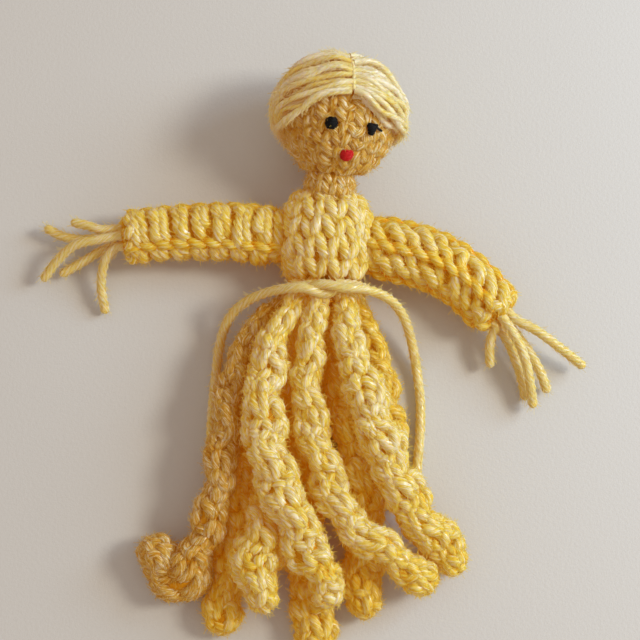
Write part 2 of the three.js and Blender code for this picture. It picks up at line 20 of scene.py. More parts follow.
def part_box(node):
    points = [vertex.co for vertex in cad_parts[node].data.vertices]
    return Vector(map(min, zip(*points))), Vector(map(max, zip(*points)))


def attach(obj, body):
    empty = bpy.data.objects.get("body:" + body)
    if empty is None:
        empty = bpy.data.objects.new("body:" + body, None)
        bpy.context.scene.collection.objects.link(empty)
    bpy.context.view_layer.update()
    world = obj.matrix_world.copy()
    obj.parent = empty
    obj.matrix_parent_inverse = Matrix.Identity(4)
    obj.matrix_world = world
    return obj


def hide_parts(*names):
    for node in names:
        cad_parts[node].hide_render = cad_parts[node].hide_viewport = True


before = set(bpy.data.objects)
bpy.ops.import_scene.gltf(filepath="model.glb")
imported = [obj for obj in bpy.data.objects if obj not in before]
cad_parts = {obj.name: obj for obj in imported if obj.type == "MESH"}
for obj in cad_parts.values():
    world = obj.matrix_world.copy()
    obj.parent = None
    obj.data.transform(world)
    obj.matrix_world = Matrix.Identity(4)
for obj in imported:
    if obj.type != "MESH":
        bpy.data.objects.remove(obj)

Array = np.ndarray
Point = tuple[float, float, float]
Colour = tuple[float, float, float, float]

log = logging.getLogger("corn_dolly")

MM = 0.001
SEED = 11
FULL_TURN = 2 * math.pi
UP = np.array([0.0, 0.0, 1.0])
LEAST_LENGTH = 1e-9
LEAST_KNOT_GAP = 1e-3
LEAST_IN_ROUND = 3.0
LEAST_IN_ROW = 2

WAIST_TIE_LEVEL = 0.5
WAIST_HEIGHT = 7.5
LANE = 7.1
STRAND_RADIUS = 3.4
STRAND_FLATTENED = 0.5
SKIRT_LENGTH = 60.0
YOKE_HALF_WIDTH = 7.2
YOKE_HALF_DEPTH = 4.9
RIGHT_SHOULDER: Point = (-11.5, 12.0, 6.8)
LEFT_SHOULDER: Point = (12.7, 9.4, 6.8)


def doll_shift() -> Array:
    """Return the shift from the dolly's frame to the shared one in millimetres, from the yoke's solid."""
    low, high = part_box("skirt_yoke")
    middle = (np.array(low) + np.array(high)) / 2 / MM
    return np.array([middle[0], middle[1] - WAIST_TIE_LEVEL, 0.0])


SHIFT = doll_shift()


def ease(share: Array, low: float = 0.0, high: float = 1.0) -> Array:
    """Return the smooth step of a share between two limits."""
    t = np.clip((np.asarray(share, float) - low) / (high - low), 0, 1)
    return t * t * (3 - 2 * t)


def unit(vectors: Array) -> Array:
    """Return the vectors at length one."""
    return vectors / np.maximum(np.linalg.norm(vectors, axis=-1, keepdims=True), LEAST_LENGTH)


def smooth_path(knots: Array, per_knot: int = 6) -> Array:
    """Lay a smooth line through knots, with no overshoot where they are unevenly spaced.

    Args:
        knots: One row for each knot: its place, and other numbers that change along the line.
        per_knot: Points on the stretch from one knot to the next.

    Returns:
        The points of the line, from the first knot to the last, with the other numbers.
    """
    knots = np.asarray(knots, float)
    line = np.vstack([2 * knots[0] - knots[1], knots, 2 * knots[-1] - knots[-2]])
    gaps = np.sqrt(np.linalg.norm(np.diff(line[:, :3], axis=0), axis=1))
    gaps = np.maximum(gaps, LEAST_KNOT_GAP)
    t1 = gaps[:-2, None]
    t2 = t1 + gaps[1:-1, None]
    t3 = t2 + gaps[2:, None]
    t = t1 + (t2 - t1) * np.arange(per_knot) / per_knot
    p0, p1, p2, p3 = (line[i:len(line) - 3 + i, None] for i in range(4))

    def between(a: Array, b: Array, start: Array, end: Array) -> Array:
        """Return the point between a and b at the place that t has between start and end."""
        share = ((t - start) / (end - start))[..., None]
        return (1 - share) * a + share * b

    zero = np.zeros_like(t1)
    a1, a2, a3 = between(p0, p1, zero, t1), between(p1, p2, t1, t2), between(p2, p3, t2, t3)
    b1, b2 = between(a1, a2, zero, t2), between(a2, a3, t1, t3)
    curve = between(b1, b2, t1, t2).reshape(-1, knots.shape[1])
    return np.vstack([curve, knots[-1]])


@dataclass(frozen=True)
class Sway:
    """How a line winds about its middle, as a corkscrew does: the width, the wave and where it starts."""

    width: float = 0.0
    wave: float = 10.5
    phase: float = 0.0


class Route:
    """A smooth line through knots, with its length and an upright frame at every place."""

    FINE_STEPS = 24

    def __init__(self, knots: Sequence[Sequence[float]], spacing: float = 0.3, sway: Sway = Sway()) -> None:
        """Lay the line.

        Args:
            knots: The points that it goes through.
            spacing: The distance between the points kept of it.
            sway: How it winds about the line through the knots.
        """
        fine = smooth_path(np.array(knots, float), self.FINE_STEPS)
        reach = np.concatenate([[0], np.cumsum(np.linalg.norm(np.diff(fine, axis=0), axis=1))])
        self.length = float(reach[-1])
        self.reach = np.linspace(0, self.length, max(3, int(self.length / spacing)))
        self.points = np.stack([np.interp(self.reach, reach, fine[:, i]) for i in range(3)], axis=1)
        self.along = unit(np.gradient(self.points, axis=0))
        if sway.width:
            _, _, across, up = self.at(self.reach)
            wind = FULL_TURN * self.reach / sway.wave + sway.phase
            width = sway.width * ease(self.reach / (2 * sway.wave))
            aside, above = width * np.cos(wind), width * np.sin(wind)
            self.points = self.points + aside[:, None] * across + above[:, None] * up
            self.along = unit(np.gradient(self.points, axis=0))

    def at(self, reach: Array) -> tuple[Array, Array, Array, Array]:
        """Return the point, the direction, and the frame's across and up at each reach.

        Args:
            reach: Distances from the start; before it and past the end the line runs straight on.

        Returns:
            Four arrays, one row for each reach.
        """
        inside = np.clip(reach, 0, self.length)
        point = np.stack([np.interp(inside, self.reach, self.points[:, i]) for i in range(3)], axis=-1)
        along = unit(np.stack([np.interp(inside, self.reach, self.along[:, i]) for i in range(3)], axis=-1))
        across = unit(np.cross(along, UP))
        up = np.cross(across, along)
        return point + along * (reach - inside)[..., None], along, across, up


class Tube:
    """A soft limb: half widths and half thicknesses along a route, with rounded ends where it has them."""

    SECTIONS = 90
    DOME_SECTIONS = 14
    DOME_TIP = 0.03

    def __init__(
        self,
        route: Route,
        section: Callable[[Array], tuple[Array, Array]],
        round_start: bool = False,
        round_end: bool = False,
    ) -> None:
        """Measure the limb.

        Args:
            route: Its middle line.
            section: Half width and half thickness at each share of the route.
            round_start: True where the start is closed by a dome.
            round_end: True where the end is closed by a dome.
        """
        share = np.linspace(0, 1, self.SECTIONS)
        width, thickness = (np.broadcast_to(np.asarray(x, float), share.shape) for x in section(share))
        stations = share * route.length
        dome = np.linspace(self.DOME_TIP, math.pi / 2, self.DOME_SECTIONS, endpoint=False)
        if round_start:
            stations = np.concatenate([-width[0] * np.cos(dome), stations])
            width, thickness = (np.concatenate([x[0] * np.sin(dome), x]) for x in (width, thickness))
        if round_end:
            stations = np.concatenate([stations, stations[-1] + width[-1] * np.cos(dome[::-1])])
            width, thickness = (np.concatenate([x, x[-1] * np.sin(dome[::-1])]) for x in (width, thickness))
        self.route, self.stations, self.width, self.thickness = route, stations, width, thickness
        radius = (width + thickness) / 2
        steps = np.hypot(np.diff(stations), np.diff(radius))
        self.meridian = np.concatenate([[0], np.cumsum(steps)])
        self.length = float(self.meridian[-1])
        self.slope = np.gradient(radius, self.meridian)

    def radius(self, m: Array) -> Array:
        """Return the mean radius at a distance along the skin."""
        return np.interp(m, self.meridian, (self.width + self.thickness) / 2)

    def place(self, turn: Array, m: Array, height: Array) -> Array:
        """Return points on the skin.

        Args:
            turn: Angle round the limb; a quarter turn is its upper side.
            m: Distance along the skin from the start.
            height: How far each point stands out of the skin.

        Returns:
            One row for each point.
        """
        turn, m, height = np.broadcast_arrays(*(np.asarray(x, float) for x in (turn, m, height)))
        centre, along, across, up = self.route.at(np.interp(m, self.meridian, self.stations))
        wide = np.interp(m, self.meridian, self.width)
        thick = np.interp(m, self.meridian, self.thickness)
        slope = np.clip(np.interp(m, self.meridian, self.slope), -1, 1)
        c, s = np.cos(turn)[..., None], np.sin(turn)[..., None]
        skin = centre + c * wide[..., None] * across + s * thick[..., None] * up
        out = unit(c * thick[..., None] * across + s * wide[..., None] * up)
        normal = out * np.sqrt(1 - slope**2)[..., None] - along * slope[..., None]
        return skin + normal * height[..., None]


class Seed(IntEnum):
    """Where each piece's unevenness starts. Sleeve rows, halves of the hair and strands count from theirs."""

    TORSO = SEED
    YOKE = SEED + 1
    HEAD = SEED + 2
    NECK = SEED + 3
    SLEEVE = SEED + 10
    HAIR = SEED + 20
    CUFF = SEED + 30
    CAP = SEED + 31
    STRAND = SEED + 40


class Stitch(Enum):
    """A stitch's knots: how far along its row, up and out each lies.

    Along is a share of the stitch's width, up a share of its row and out a share of the yarn's radius.
    """

    VEE = (
        (-0.5, 0.46, -1.1), (-0.4, 0.34, -0.1), (-0.25, 0.04, 0.45), (-0.1, -0.3, 0.2), (0.0, -0.5, -1.0),
        (0.1, -0.3, 0.2), (0.25, 0.04, 0.45), (0.4, 0.34, -0.1),
    )
    POST = (
        (-0.48, 0.52, -1.2), (-0.38, 0.42, 0.0), (-0.25, 0.2, 0.35), (-0.21, -0.02, 0.4),
        (-0.19, -0.24, 0.65), (-0.12, -0.44, 0.3), (-0.02, -0.54, -1.2), (0.06, 0.0, -1.9),
        (-0.18, 0.52, -1.2), (-0.08, 0.42, 0.1), (0.04, 0.2, 0.45), (0.08, -0.02, 0.5),
        (0.1, -0.24, 0.75), (0.17, -0.44, 0.35), (0.28, -0.54, -1.2), (0.46, 0.0, -1.9),
    )
    SLANT = (
        (-0.78, 0.5, -0.9), (-0.6, 0.42, 0.0), (-0.3, 0.22, 0.4), (0.04, 0.0, 0.5), (0.38, -0.22, 0.4),
        (0.66, -0.42, 0.0), (0.78, -0.5, -0.9), (0.6, -0.1, -1.8), (0.3, 0.3, -1.8),
    )
    LOOP = (
        (-0.5, 0.0, -1.1), (-0.36, 0.5, -0.5), (-0.18, 0.42, 0.45), (0.0, 0.0, 0.8), (0.18, -0.42, 0.45),
        (0.36, -0.5, -0.5),
    )


@dataclass(frozen=True)
class Yarn:
    """A plied yarn.

    Its groove is a share of its radius, its twist the length of one turn, its spacing and sides those of its
    mesh, and its fuzz the loose fibres on a square millimetre.
    """

    radius: float = 1.07
    plies: int = 6
    groove: float = 0.25
    twist: float = 9.0
    spacing: float = 0.5
    sides: int = 12
    fuzz: float = 1.6
    fuzz_length: float = 1.25


@dataclass(frozen=True)
class Gauge:
    """How a stretch of stitches is worked.

    Reach and relief stretch a stitch up and out, uneven is how much its knots stray, upward is -1 where it is
    upside down, puff is how much the yarn swells at the front of it and sunk how deep it lies in the skin.
    Rounds start at first along the skin and at an angle, turn, and leave spare free before the limb's end.
    """

    stitch: Stitch
    width: float
    row: float
    reach: float = 1.0
    relief: float = 0.7
    uneven: float = 0.05
    upward: float = 1.0
    puff: float = 0.14
    sunk: float = 1.22
    first: float = 1.0
    spare: float = 1.0
    turn: float = 0.0

    STRAY_ALONG = 0.5
    STRAY_OUT = 1.5
    STRAY_SWELL = 0.5
    PUFF_STEEPNESS = 2.0
    PUFF_START = 0.5

    def knots(self, yarn: Yarn, rng: np.random.Generator) -> tuple[Array, Array, Array, Array]:
        """Return one stitch's knots.

        Args:
            yarn: The yarn that it is worked in.
            rng: The source of its unevenness.

        Returns:
            How far along the row, in stitches, how far up, how far out, and the yarn's swelling at each knot.
        """
        cell = np.array(self.stitch.value)
        size = 1 + self.uneven * rng.standard_normal()
        off = self.uneven * rng.standard_normal(len(cell))
        along = cell[:, 0] + 0.5 + self.STRAY_ALONG * off
        up = self.upward * (cell[:, 1] * size + off) * self.row * self.reach
        out = (cell[:, 2] * self.relief + self.STRAY_OUT * off - self.sunk) * yarn.radius
        front = np.tanh(self.PUFF_STEEPNESS * cell[:, 2] + self.PUFF_START)
        return along, up, out, 1 + self.puff * front + self.STRAY_SWELL * off


def worked_rounds(
    tube: Tube, gauge: Gauge, yarn: Yarn, seed: int, end: Optional[float] = None
) -> Array:
    """Lay one yarn in stitches round and round a limb.

    Args:
        tube: The limb.
        gauge: How the rounds are worked.
        yarn: The yarn that they are worked in.
        seed: The seed of the stitches' unevenness.
        end: Where the last round ends along the skin, if that isn't near the limb's end.

    Returns:
        The yarn's knots with its swelling at each.
    """
    rng = np.random.default_rng(seed)
    rows = []
    m, turn = gauge.first, gauge.turn
    last = tube.length - gauge.spare if end is None else end
    while m < last:
        count = max(LEAST_IN_ROUND, FULL_TURN * float(tube.radius(m)) / gauge.width)
        step = FULL_TURN / count
        along, up, out, swell = gauge.knots(yarn, rng)
        rows.append((turn + along * step, m - up, out, swell))
        turn += step
        m += gauge.row / count
    return laid_on(tube, rows)


def worked_row(
    tube: Tube, gauge: Gauge, yarn: Yarn, turn: float, start: float, end: float, seed: int
) -> Array:
    """Lay one yarn in stitches along a limb.

    Args:
        tube: The limb.
        gauge: How the row is worked.
        yarn: The yarn that it is worked in.
        turn: The angle round the limb at which the row lies.
        start: Where the row starts along the skin.
        end: Where it ends.
        seed: The seed of the stitches' unevenness.

    Returns:
        The yarn's knots with its swelling at each.
    """
    rng = np.random.default_rng(seed)
    rows = []
    count = max(LEAST_IN_ROW, round((end - start) / gauge.width))
    width = (end - start) / count
    for i in range(count):
        along, up, out, swell = gauge.knots(yarn, rng)
        m = start + (i + along) * width
        rows.append((turn + up / tube.radius(m), m, out, swell))
    return laid_on(tube, rows)


def laid_on(tube: Tube, rows: Sequence[tuple[Array, Array, Array, Array]]) -> Array:
    """Return stitches' knots laid on a limb.

    Args:
        tube: The limb.
        rows: For each stitch, its knots' turns, places along the skin, heights and swellings.

    Returns:
        One row for each knot: its place and its swelling.
    """
    turns, places, heights, swells = (np.concatenate(column) for column in zip(*rows))
    points = tube.place(turns, np.clip(places, 0, tube.length), heights)
    return np.hstack([points, swells[:, None]])


@dataclass(frozen=True)
class Rope:
    """Two yarns that lie round each other, as the tops of a row of stitches do.

    Lay is the length of one turn and spacing that from point to point. The others are shares of the yarn's
    radius.
    """

    lay: float = 6.8
    apart: float = 0.45
    rise: float = 0.5
    thinned: float = 0.9
    swelling: float = 0.16
    spacing: float = 0.45

    def along(
        self, tube: Tube, yarn: Yarn, turn: float, start: float, end: float, sunk: float
    ) -> list[Array]:
        """Lay the two yarns along a limb.

        Args:
            tube: The limb.
            yarn: The yarn.
            turn: The angle round the limb at which the ridge lies.
            start: Where it starts along the skin.
            end: Where it ends.
            sunk: How deep the ridge lies in the skin, as a share of the yarn's radius.

        Returns:
            The two yarns' points with their swelling.
        """
        m = np.arange(start, end, self.spacing)
        yarns = []
        for half in (0.0, math.pi):
            wind = FULL_TURN * m / self.lay + half
            across = self.apart * yarn.radius * np.cos(wind) / tube.radius(m)
            out = (self.rise * np.sin(wind) - sunk) * yarn.radius
            swell = self.thinned + self.swelling * np.sin(wind)
            yarns.append(np.hstack([tube.place(turn + across, m, out), swell[:, None]]))
        return yarns


class Value:
    """A node's socket in an expression: arithmetic on it adds Math nodes to its graph."""

    def __init__(self, graph: "Graph", socket: bpy.types.NodeSocket) -> None:
        """Hold a socket of a graph."""
        self.graph, self.socket = graph, socket

    def _math(self, operation: str, *values: Union["Value", float]) -> "Value":
        """Return the result of a Math node on the values."""
        return self.graph.node("ShaderNodeMath", {"operation": operation}, dict(enumerate(values)))

    def __add__(self, other: Union["Value", float]) -> "Value":
        """Return self + other."""
        return self._math("ADD", self, other)

    def __radd__(self, other: float) -> "Value":
        """Return other + self."""
        return self._math("ADD", other, self)

    def __sub__(self, other: Union["Value", float]) -> "Value":
        """Return self - other."""
        return self._math("SUBTRACT", self, other)

    def __rsub__(self, other: float) -> "Value":
        """Return other - self."""
        return self._math("SUBTRACT", other, self)

    def __mul__(self, other: Union["Value", float]) -> "Value":
        """Return self * other."""
        return self._math("MULTIPLY", self, other)

    def __rmul__(self, other: float) -> "Value":
        """Return other * self."""
        return self._math("MULTIPLY", other, self)

    def __truediv__(self, other: Union["Value", float]) -> "Value":
        """Return self / other."""
        return self._math("DIVIDE", self, other)

    def __pow__(self, other: float) -> "Value":
        """Return self to a power."""
        return self._math("POWER", self, other)

    def __abs__(self) -> "Value":
        """Return the absolute value of self."""
        return self._math("ABSOLUTE", self)

    def cos(self) -> "Value":
        """Return the cosine of self."""
        return self._math("COSINE", self)

    def sin(self) -> "Value":
        """Return the sine of self."""
        return self._math("SINE", self)


class Graph:
    """A node tree that is written as expressions."""

    def __init__(self, tree: bpy.types.NodeTree) -> None:
        """Hold a node tree."""
        self.tree = tree

    def node(
        self,
        kind: str,
        settings: dict[str, Any],
        inputs: dict[Union[str, int], Any],
        output: Union[str, int] = 0,
    ) -> Value:
        """Add a node.

        Args:
            kind: The node's type.
            settings: Its properties, which are set first; "stops" are a ramp's places and colours.
            inputs: Values or links of its sockets, by name or number.
            output: The socket that is returned.

        Returns:
            The output as a value for expressions.
        """
        made = self.tree.nodes.new(kind)
        for name, setting in settings.items():
            if name == "stops":
                self._ramp(made.color_ramp, setting)
            else:
                setattr(made, name, setting)
        for key, value in inputs.items():
            if isinstance(value, Value):
                self.tree.links.new(value.socket, made.inputs[key])
            elif isinstance(value, list):
                for link in value:
                    self.tree.links.new(link.socket, made.inputs[key])
            else:
                made.inputs[key].default_value = value
        return Value(self, made.outputs[output] if len(made.outputs) else None)

    @staticmethod
    def _ramp(ramp: bpy.types.ColorRamp, stops: Sequence[tuple[float, Colour]]) -> None:
        """Set a ramp's places and colours."""
        while len(ramp.elements) < len(stops):
            ramp.elements.new(0.5)
        for element, (place, colour) in zip(ramp.elements, stops):
            element.position, element.color = place, colour

    def mix(self, share: Union[Value, float], a: Union[Value, Colour], b: Union[Value, Colour]) -> Value:
        """Return the colour between a and b at a share."""
        return self.node("ShaderNodeMix", {"data_type": "RGBA"}, {0: share, 6: a, 7: b}, 2)

    def attribute(self, name: str) -> Value:
        """Return a mesh attribute's number."""
        return self.node("ShaderNodeAttribute", {"attribute_name": name}, {}, "Fac")

    def span(self, value: Value, low: float, high: float) -> Value:
        """Return where a number lies between two limits, from 0 to 1."""
        return self.node("ShaderNodeMapRange", {"clamp": True}, {0: value, 1: low, 2: high})

    def vector(self, x: Union[Value, float], y: Union[Value, float], z: Union[Value, float]) -> Value:
        """Return a vector of three numbers."""
        return self.node("ShaderNodeCombineXYZ", {}, {0: x, 1: y, 2: z})

    def noise(self, where: Value, scale: float, detail: float = 2.0, roughness: float = 0.5) -> Value:
        """Return noise from 0 to 1 at a place."""
        inputs = {"Vector": where, "Scale": scale, "Detail": detail, "Roughness": roughness}
        return self.node("ShaderNodeTexNoise", {}, inputs, 0)


def new_material(name: str) -> tuple[bpy.types.Material, Graph, bpy.types.Node]:
    """Return a new material, its graph and its principled shader."""
    material = bpy.data.materials.new(name)
    material.use_nodes = True
    return material, Graph(material.node_tree), material.node_tree.nodes["Principled BSDF"]


@dataclass(frozen=True)
class SpunFinish:
    """Spun fibre, with shades from the grooves between the plies to single fibres.

    The darkest shades are painted shade for the grooves and the lightest painted highlight for lit fibres.
    A tone picks the shade. It starts at the lift. A ply's crest raises it, so the grooves are painted
    shade. Its light fibres add paler fibres and painted highlight. The yarn's swelling raises it, so
    tucked-in yarn is painted shade. The dye lot adds tone at random. Near the table the tone falls, as
    painted shade. Seep is the light that passes through the fibres. Glow is painted glow: light that the
    yarn gives off itself, in place of the warm light that the fibres throw back among themselves.
    """

    name: str
    shades: tuple[Colour, ...]
    lift: float = -0.12
    contrast: float = 0.4
    painted_low_shade: float = 0.0
    roughness: float = 0.45
    gloss: float = 0.9
    sheen: float = 0.03
    fibre_bump: float = 0.6
    seep: float = 0.0
    glow: float = 0.0
    glow_colour: Colour = (1.0, 0.24, 0.0, 1)

    CREST_SHARE = 0.18
    SWELL_SHADE_SHARE = 0.52
    DYE_SHARE = 0.12
    SWELL_RANGE = (0.86, 1.12)
    FIBRES_ROUND = 4.6
    FIBRES_ALONG = 900.0
    LIGHT_RANGE = (0.4, 0.62)
    DYE_SCALE = 190.0
    DYE_RANGE = (0.3, 0.7)
    PAINTED_SHADE_HEIGHTS = (0.002, 0.014)
    PAINTED_SHADE_MIDDLE = 0.65
    BUMP_HEIGHT = 0.0002
    ROUGHNESS_SPREAD = 0.16
    FIXED = {
        "Coat Roughness": 0.3,
        "Coat IOR": 1.9,
        "Sheen Roughness": 0.35,
        "Specular IOR Level": 0.15,
        "Subsurface Radius": (1.0, 0.6, 0.35),
        "Subsurface Scale": 0.0007,
    }

    def make(self) -> bpy.types.Material:
        """Return the material, whose fibres run along the plies."""
        material, graph, shader = new_material(self.name)
        along = graph.attribute("along") * self.FIBRES_ALONG
        x, y = (graph.attribute(name) * self.FIBRES_ROUND for name in ("ring_x", "ring_y"))
        # Painted shade: the grooves between the plies are darker and the crests lighter.
        crest = 1 - graph.attribute("ply_depth")
        # Painted shade: tucked-in yarn is darker and raised, swollen yarn lighter.
        swollen = graph.span(graph.attribute("swell"), *self.SWELL_RANGE)
        fibres = graph.noise(graph.vector(x, y, along), scale=1.0, detail=3.0, roughness=0.65)
        # Paler fibres, which also paint highlights along the plies.
        light = graph.span(fibres, *self.LIGHT_RANGE)
        where = graph.node("ShaderNodeTexCoord", {}, {}, "Object")
        dye = graph.span(graph.noise(where, self.DYE_SCALE, detail=3.0), *self.DYE_RANGE)
        # Painted shade: the tone falls towards the table.
        level = graph.span(graph.node("ShaderNodeSeparateXYZ", {}, {0: where}, "Z"), *self.PAINTED_SHADE_HEIGHTS)
        tone = crest * self.CREST_SHARE + light * self.contrast + swollen * self.SWELL_SHADE_SHARE
        tone = tone + dye * self.DYE_SHARE + self.lift + (level - self.PAINTED_SHADE_MIDDLE) * self.painted_low_shade
        stops = [(k / (len(self.shades) - 1), shade) for k, shade in enumerate(self.shades)]
        colour = graph.node("ShaderNodeValToRGB", {"stops": stops}, {"Fac": tone})
        rough = self.roughness - self.ROUGHNESS_SPREAD / 2 + self.ROUGHNESS_SPREAD * fibres
        ridges = {"Strength": self.fibre_bump, "Distance": self.BUMP_HEIGHT, "Height": fibres}
        varying = {
            "Base Color": graph.mix(graph.attribute("loose_fibre"), colour, self.shades[-2]),
            "Roughness": rough,
            "Coat Weight": crest * light**2 * self.gloss,
            "Normal": graph.node("ShaderNodeBump", {}, ridges),
        }
        for socket, value in varying.items():
            material.node_tree.links.new(value.socket, shader.inputs[socket])
        # Painted glow: the yarn gives off warm light itself, in place of light thrown back among its fibres.
        constant = {
            "Sheen Weight": self.sheen,
            "Sheen Tint": self.shades[-1],
            "Subsurface Weight": self.seep,
            "Emission Color": self.glow_colour,
            "Emission Strength": self.glow,
        }
        for socket, value in {**self.FIXED, **constant}.items():
            shader.inputs[socket].default_value = value
        return material


@dataclass(frozen=True)
class LiningFinish:
    """The shaded yarn and filling that show between the stitches."""

    # Painted shade: the yarn and filling between the stitches are coloured darker and more orange than the
    # yarn; the glow is painted glow.
    name: str = "shaded_yarn"
    light: Colour = (0.66, 0.32, 0.012, 1)
    dark: Colour = (0.56, 0.2, 0.004, 1)
    glow: float = 0.08
    roughness: float = 0.75
    roughness_spread: float = 0.2
    mottle_scale: float = 900.0
    patch_scale: float = 170.0
    mottle_share: float = 0.6
    specular: float = 0.1
    bump: float = 0.6
    bump_height: float = 0.0003

    def make(self) -> bpy.types.Material:
        """Return the material, mottled as matted fibre is."""
        material, graph, shader = new_material(self.name)
        where = graph.node("ShaderNodeTexCoord", {}, {}, "Object")
        mottle = graph.noise(where, self.mottle_scale, detail=4.0, roughness=0.65)
        patch = graph.noise(where, self.patch_scale)
        share = mottle * self.mottle_share + patch * (1 - self.mottle_share)
        colour = graph.mix(share, self.dark, self.light)
        lumps = {"Strength": self.bump, "Distance": self.bump_height, "Height": mottle}
        bump = graph.node("ShaderNodeBump", {}, lumps)
        tree = material.node_tree
        tree.links.new(colour.socket, shader.inputs["Base Color"])
        rough = self.roughness + self.roughness_spread * mottle
        tree.links.new(rough.socket, shader.inputs["Roughness"])
        tree.links.new(bump.socket, shader.inputs["Normal"])
        shader.inputs["Specular IOR Level"].default_value = self.specular
        # Painted glow: the lining gives off its dark colour as light, in place of light thrown back among the
        # fibres.
        shader.inputs["Emission Color"].default_value = self.dark
        shader.inputs["Emission Strength"].default_value = self.glow
        return material


@dataclass(frozen=True)
class TableFinish:
    """A pale, finely grained table top."""

    name: str = "pale_table"
    light: Colour = (0.63, 0.63, 0.625, 1)
    dark: Colour = (0.57, 0.57, 0.565, 1)
    roughness: float = 0.5
    roughness_spread: float = 0.2
    grain_scale: float = 1400.0
    cloud_scale: float = 12.0
    bump: float = 0.25
    bump_height: float = 0.0003

    def make(self) -> bpy.types.Material:
        """Return the material."""
        material, graph, shader = new_material(self.name)
        where = graph.node("ShaderNodeTexCoord", {}, {}, "Object")
        grain = graph.noise(where, self.grain_scale, detail=4.0, roughness=0.7)
        cloud = graph.noise(where, self.cloud_scale)
        colour = graph.mix(grain * 0.5 + cloud * 0.5, self.dark, self.light)
        grit = {"Strength": self.bump, "Distance": self.bump_height, "Height": grain}
        bump = graph.node("ShaderNodeBump", {}, grit)
        tree = material.node_tree
        tree.links.new(colour.socket, shader.inputs["Base Color"])
        rough = self.roughness + self.roughness_spread * grain
        tree.links.new(rough.socket, shader.inputs["Roughness"])
        tree.links.new(bump.socket, shader.inputs["Normal"])
        return material


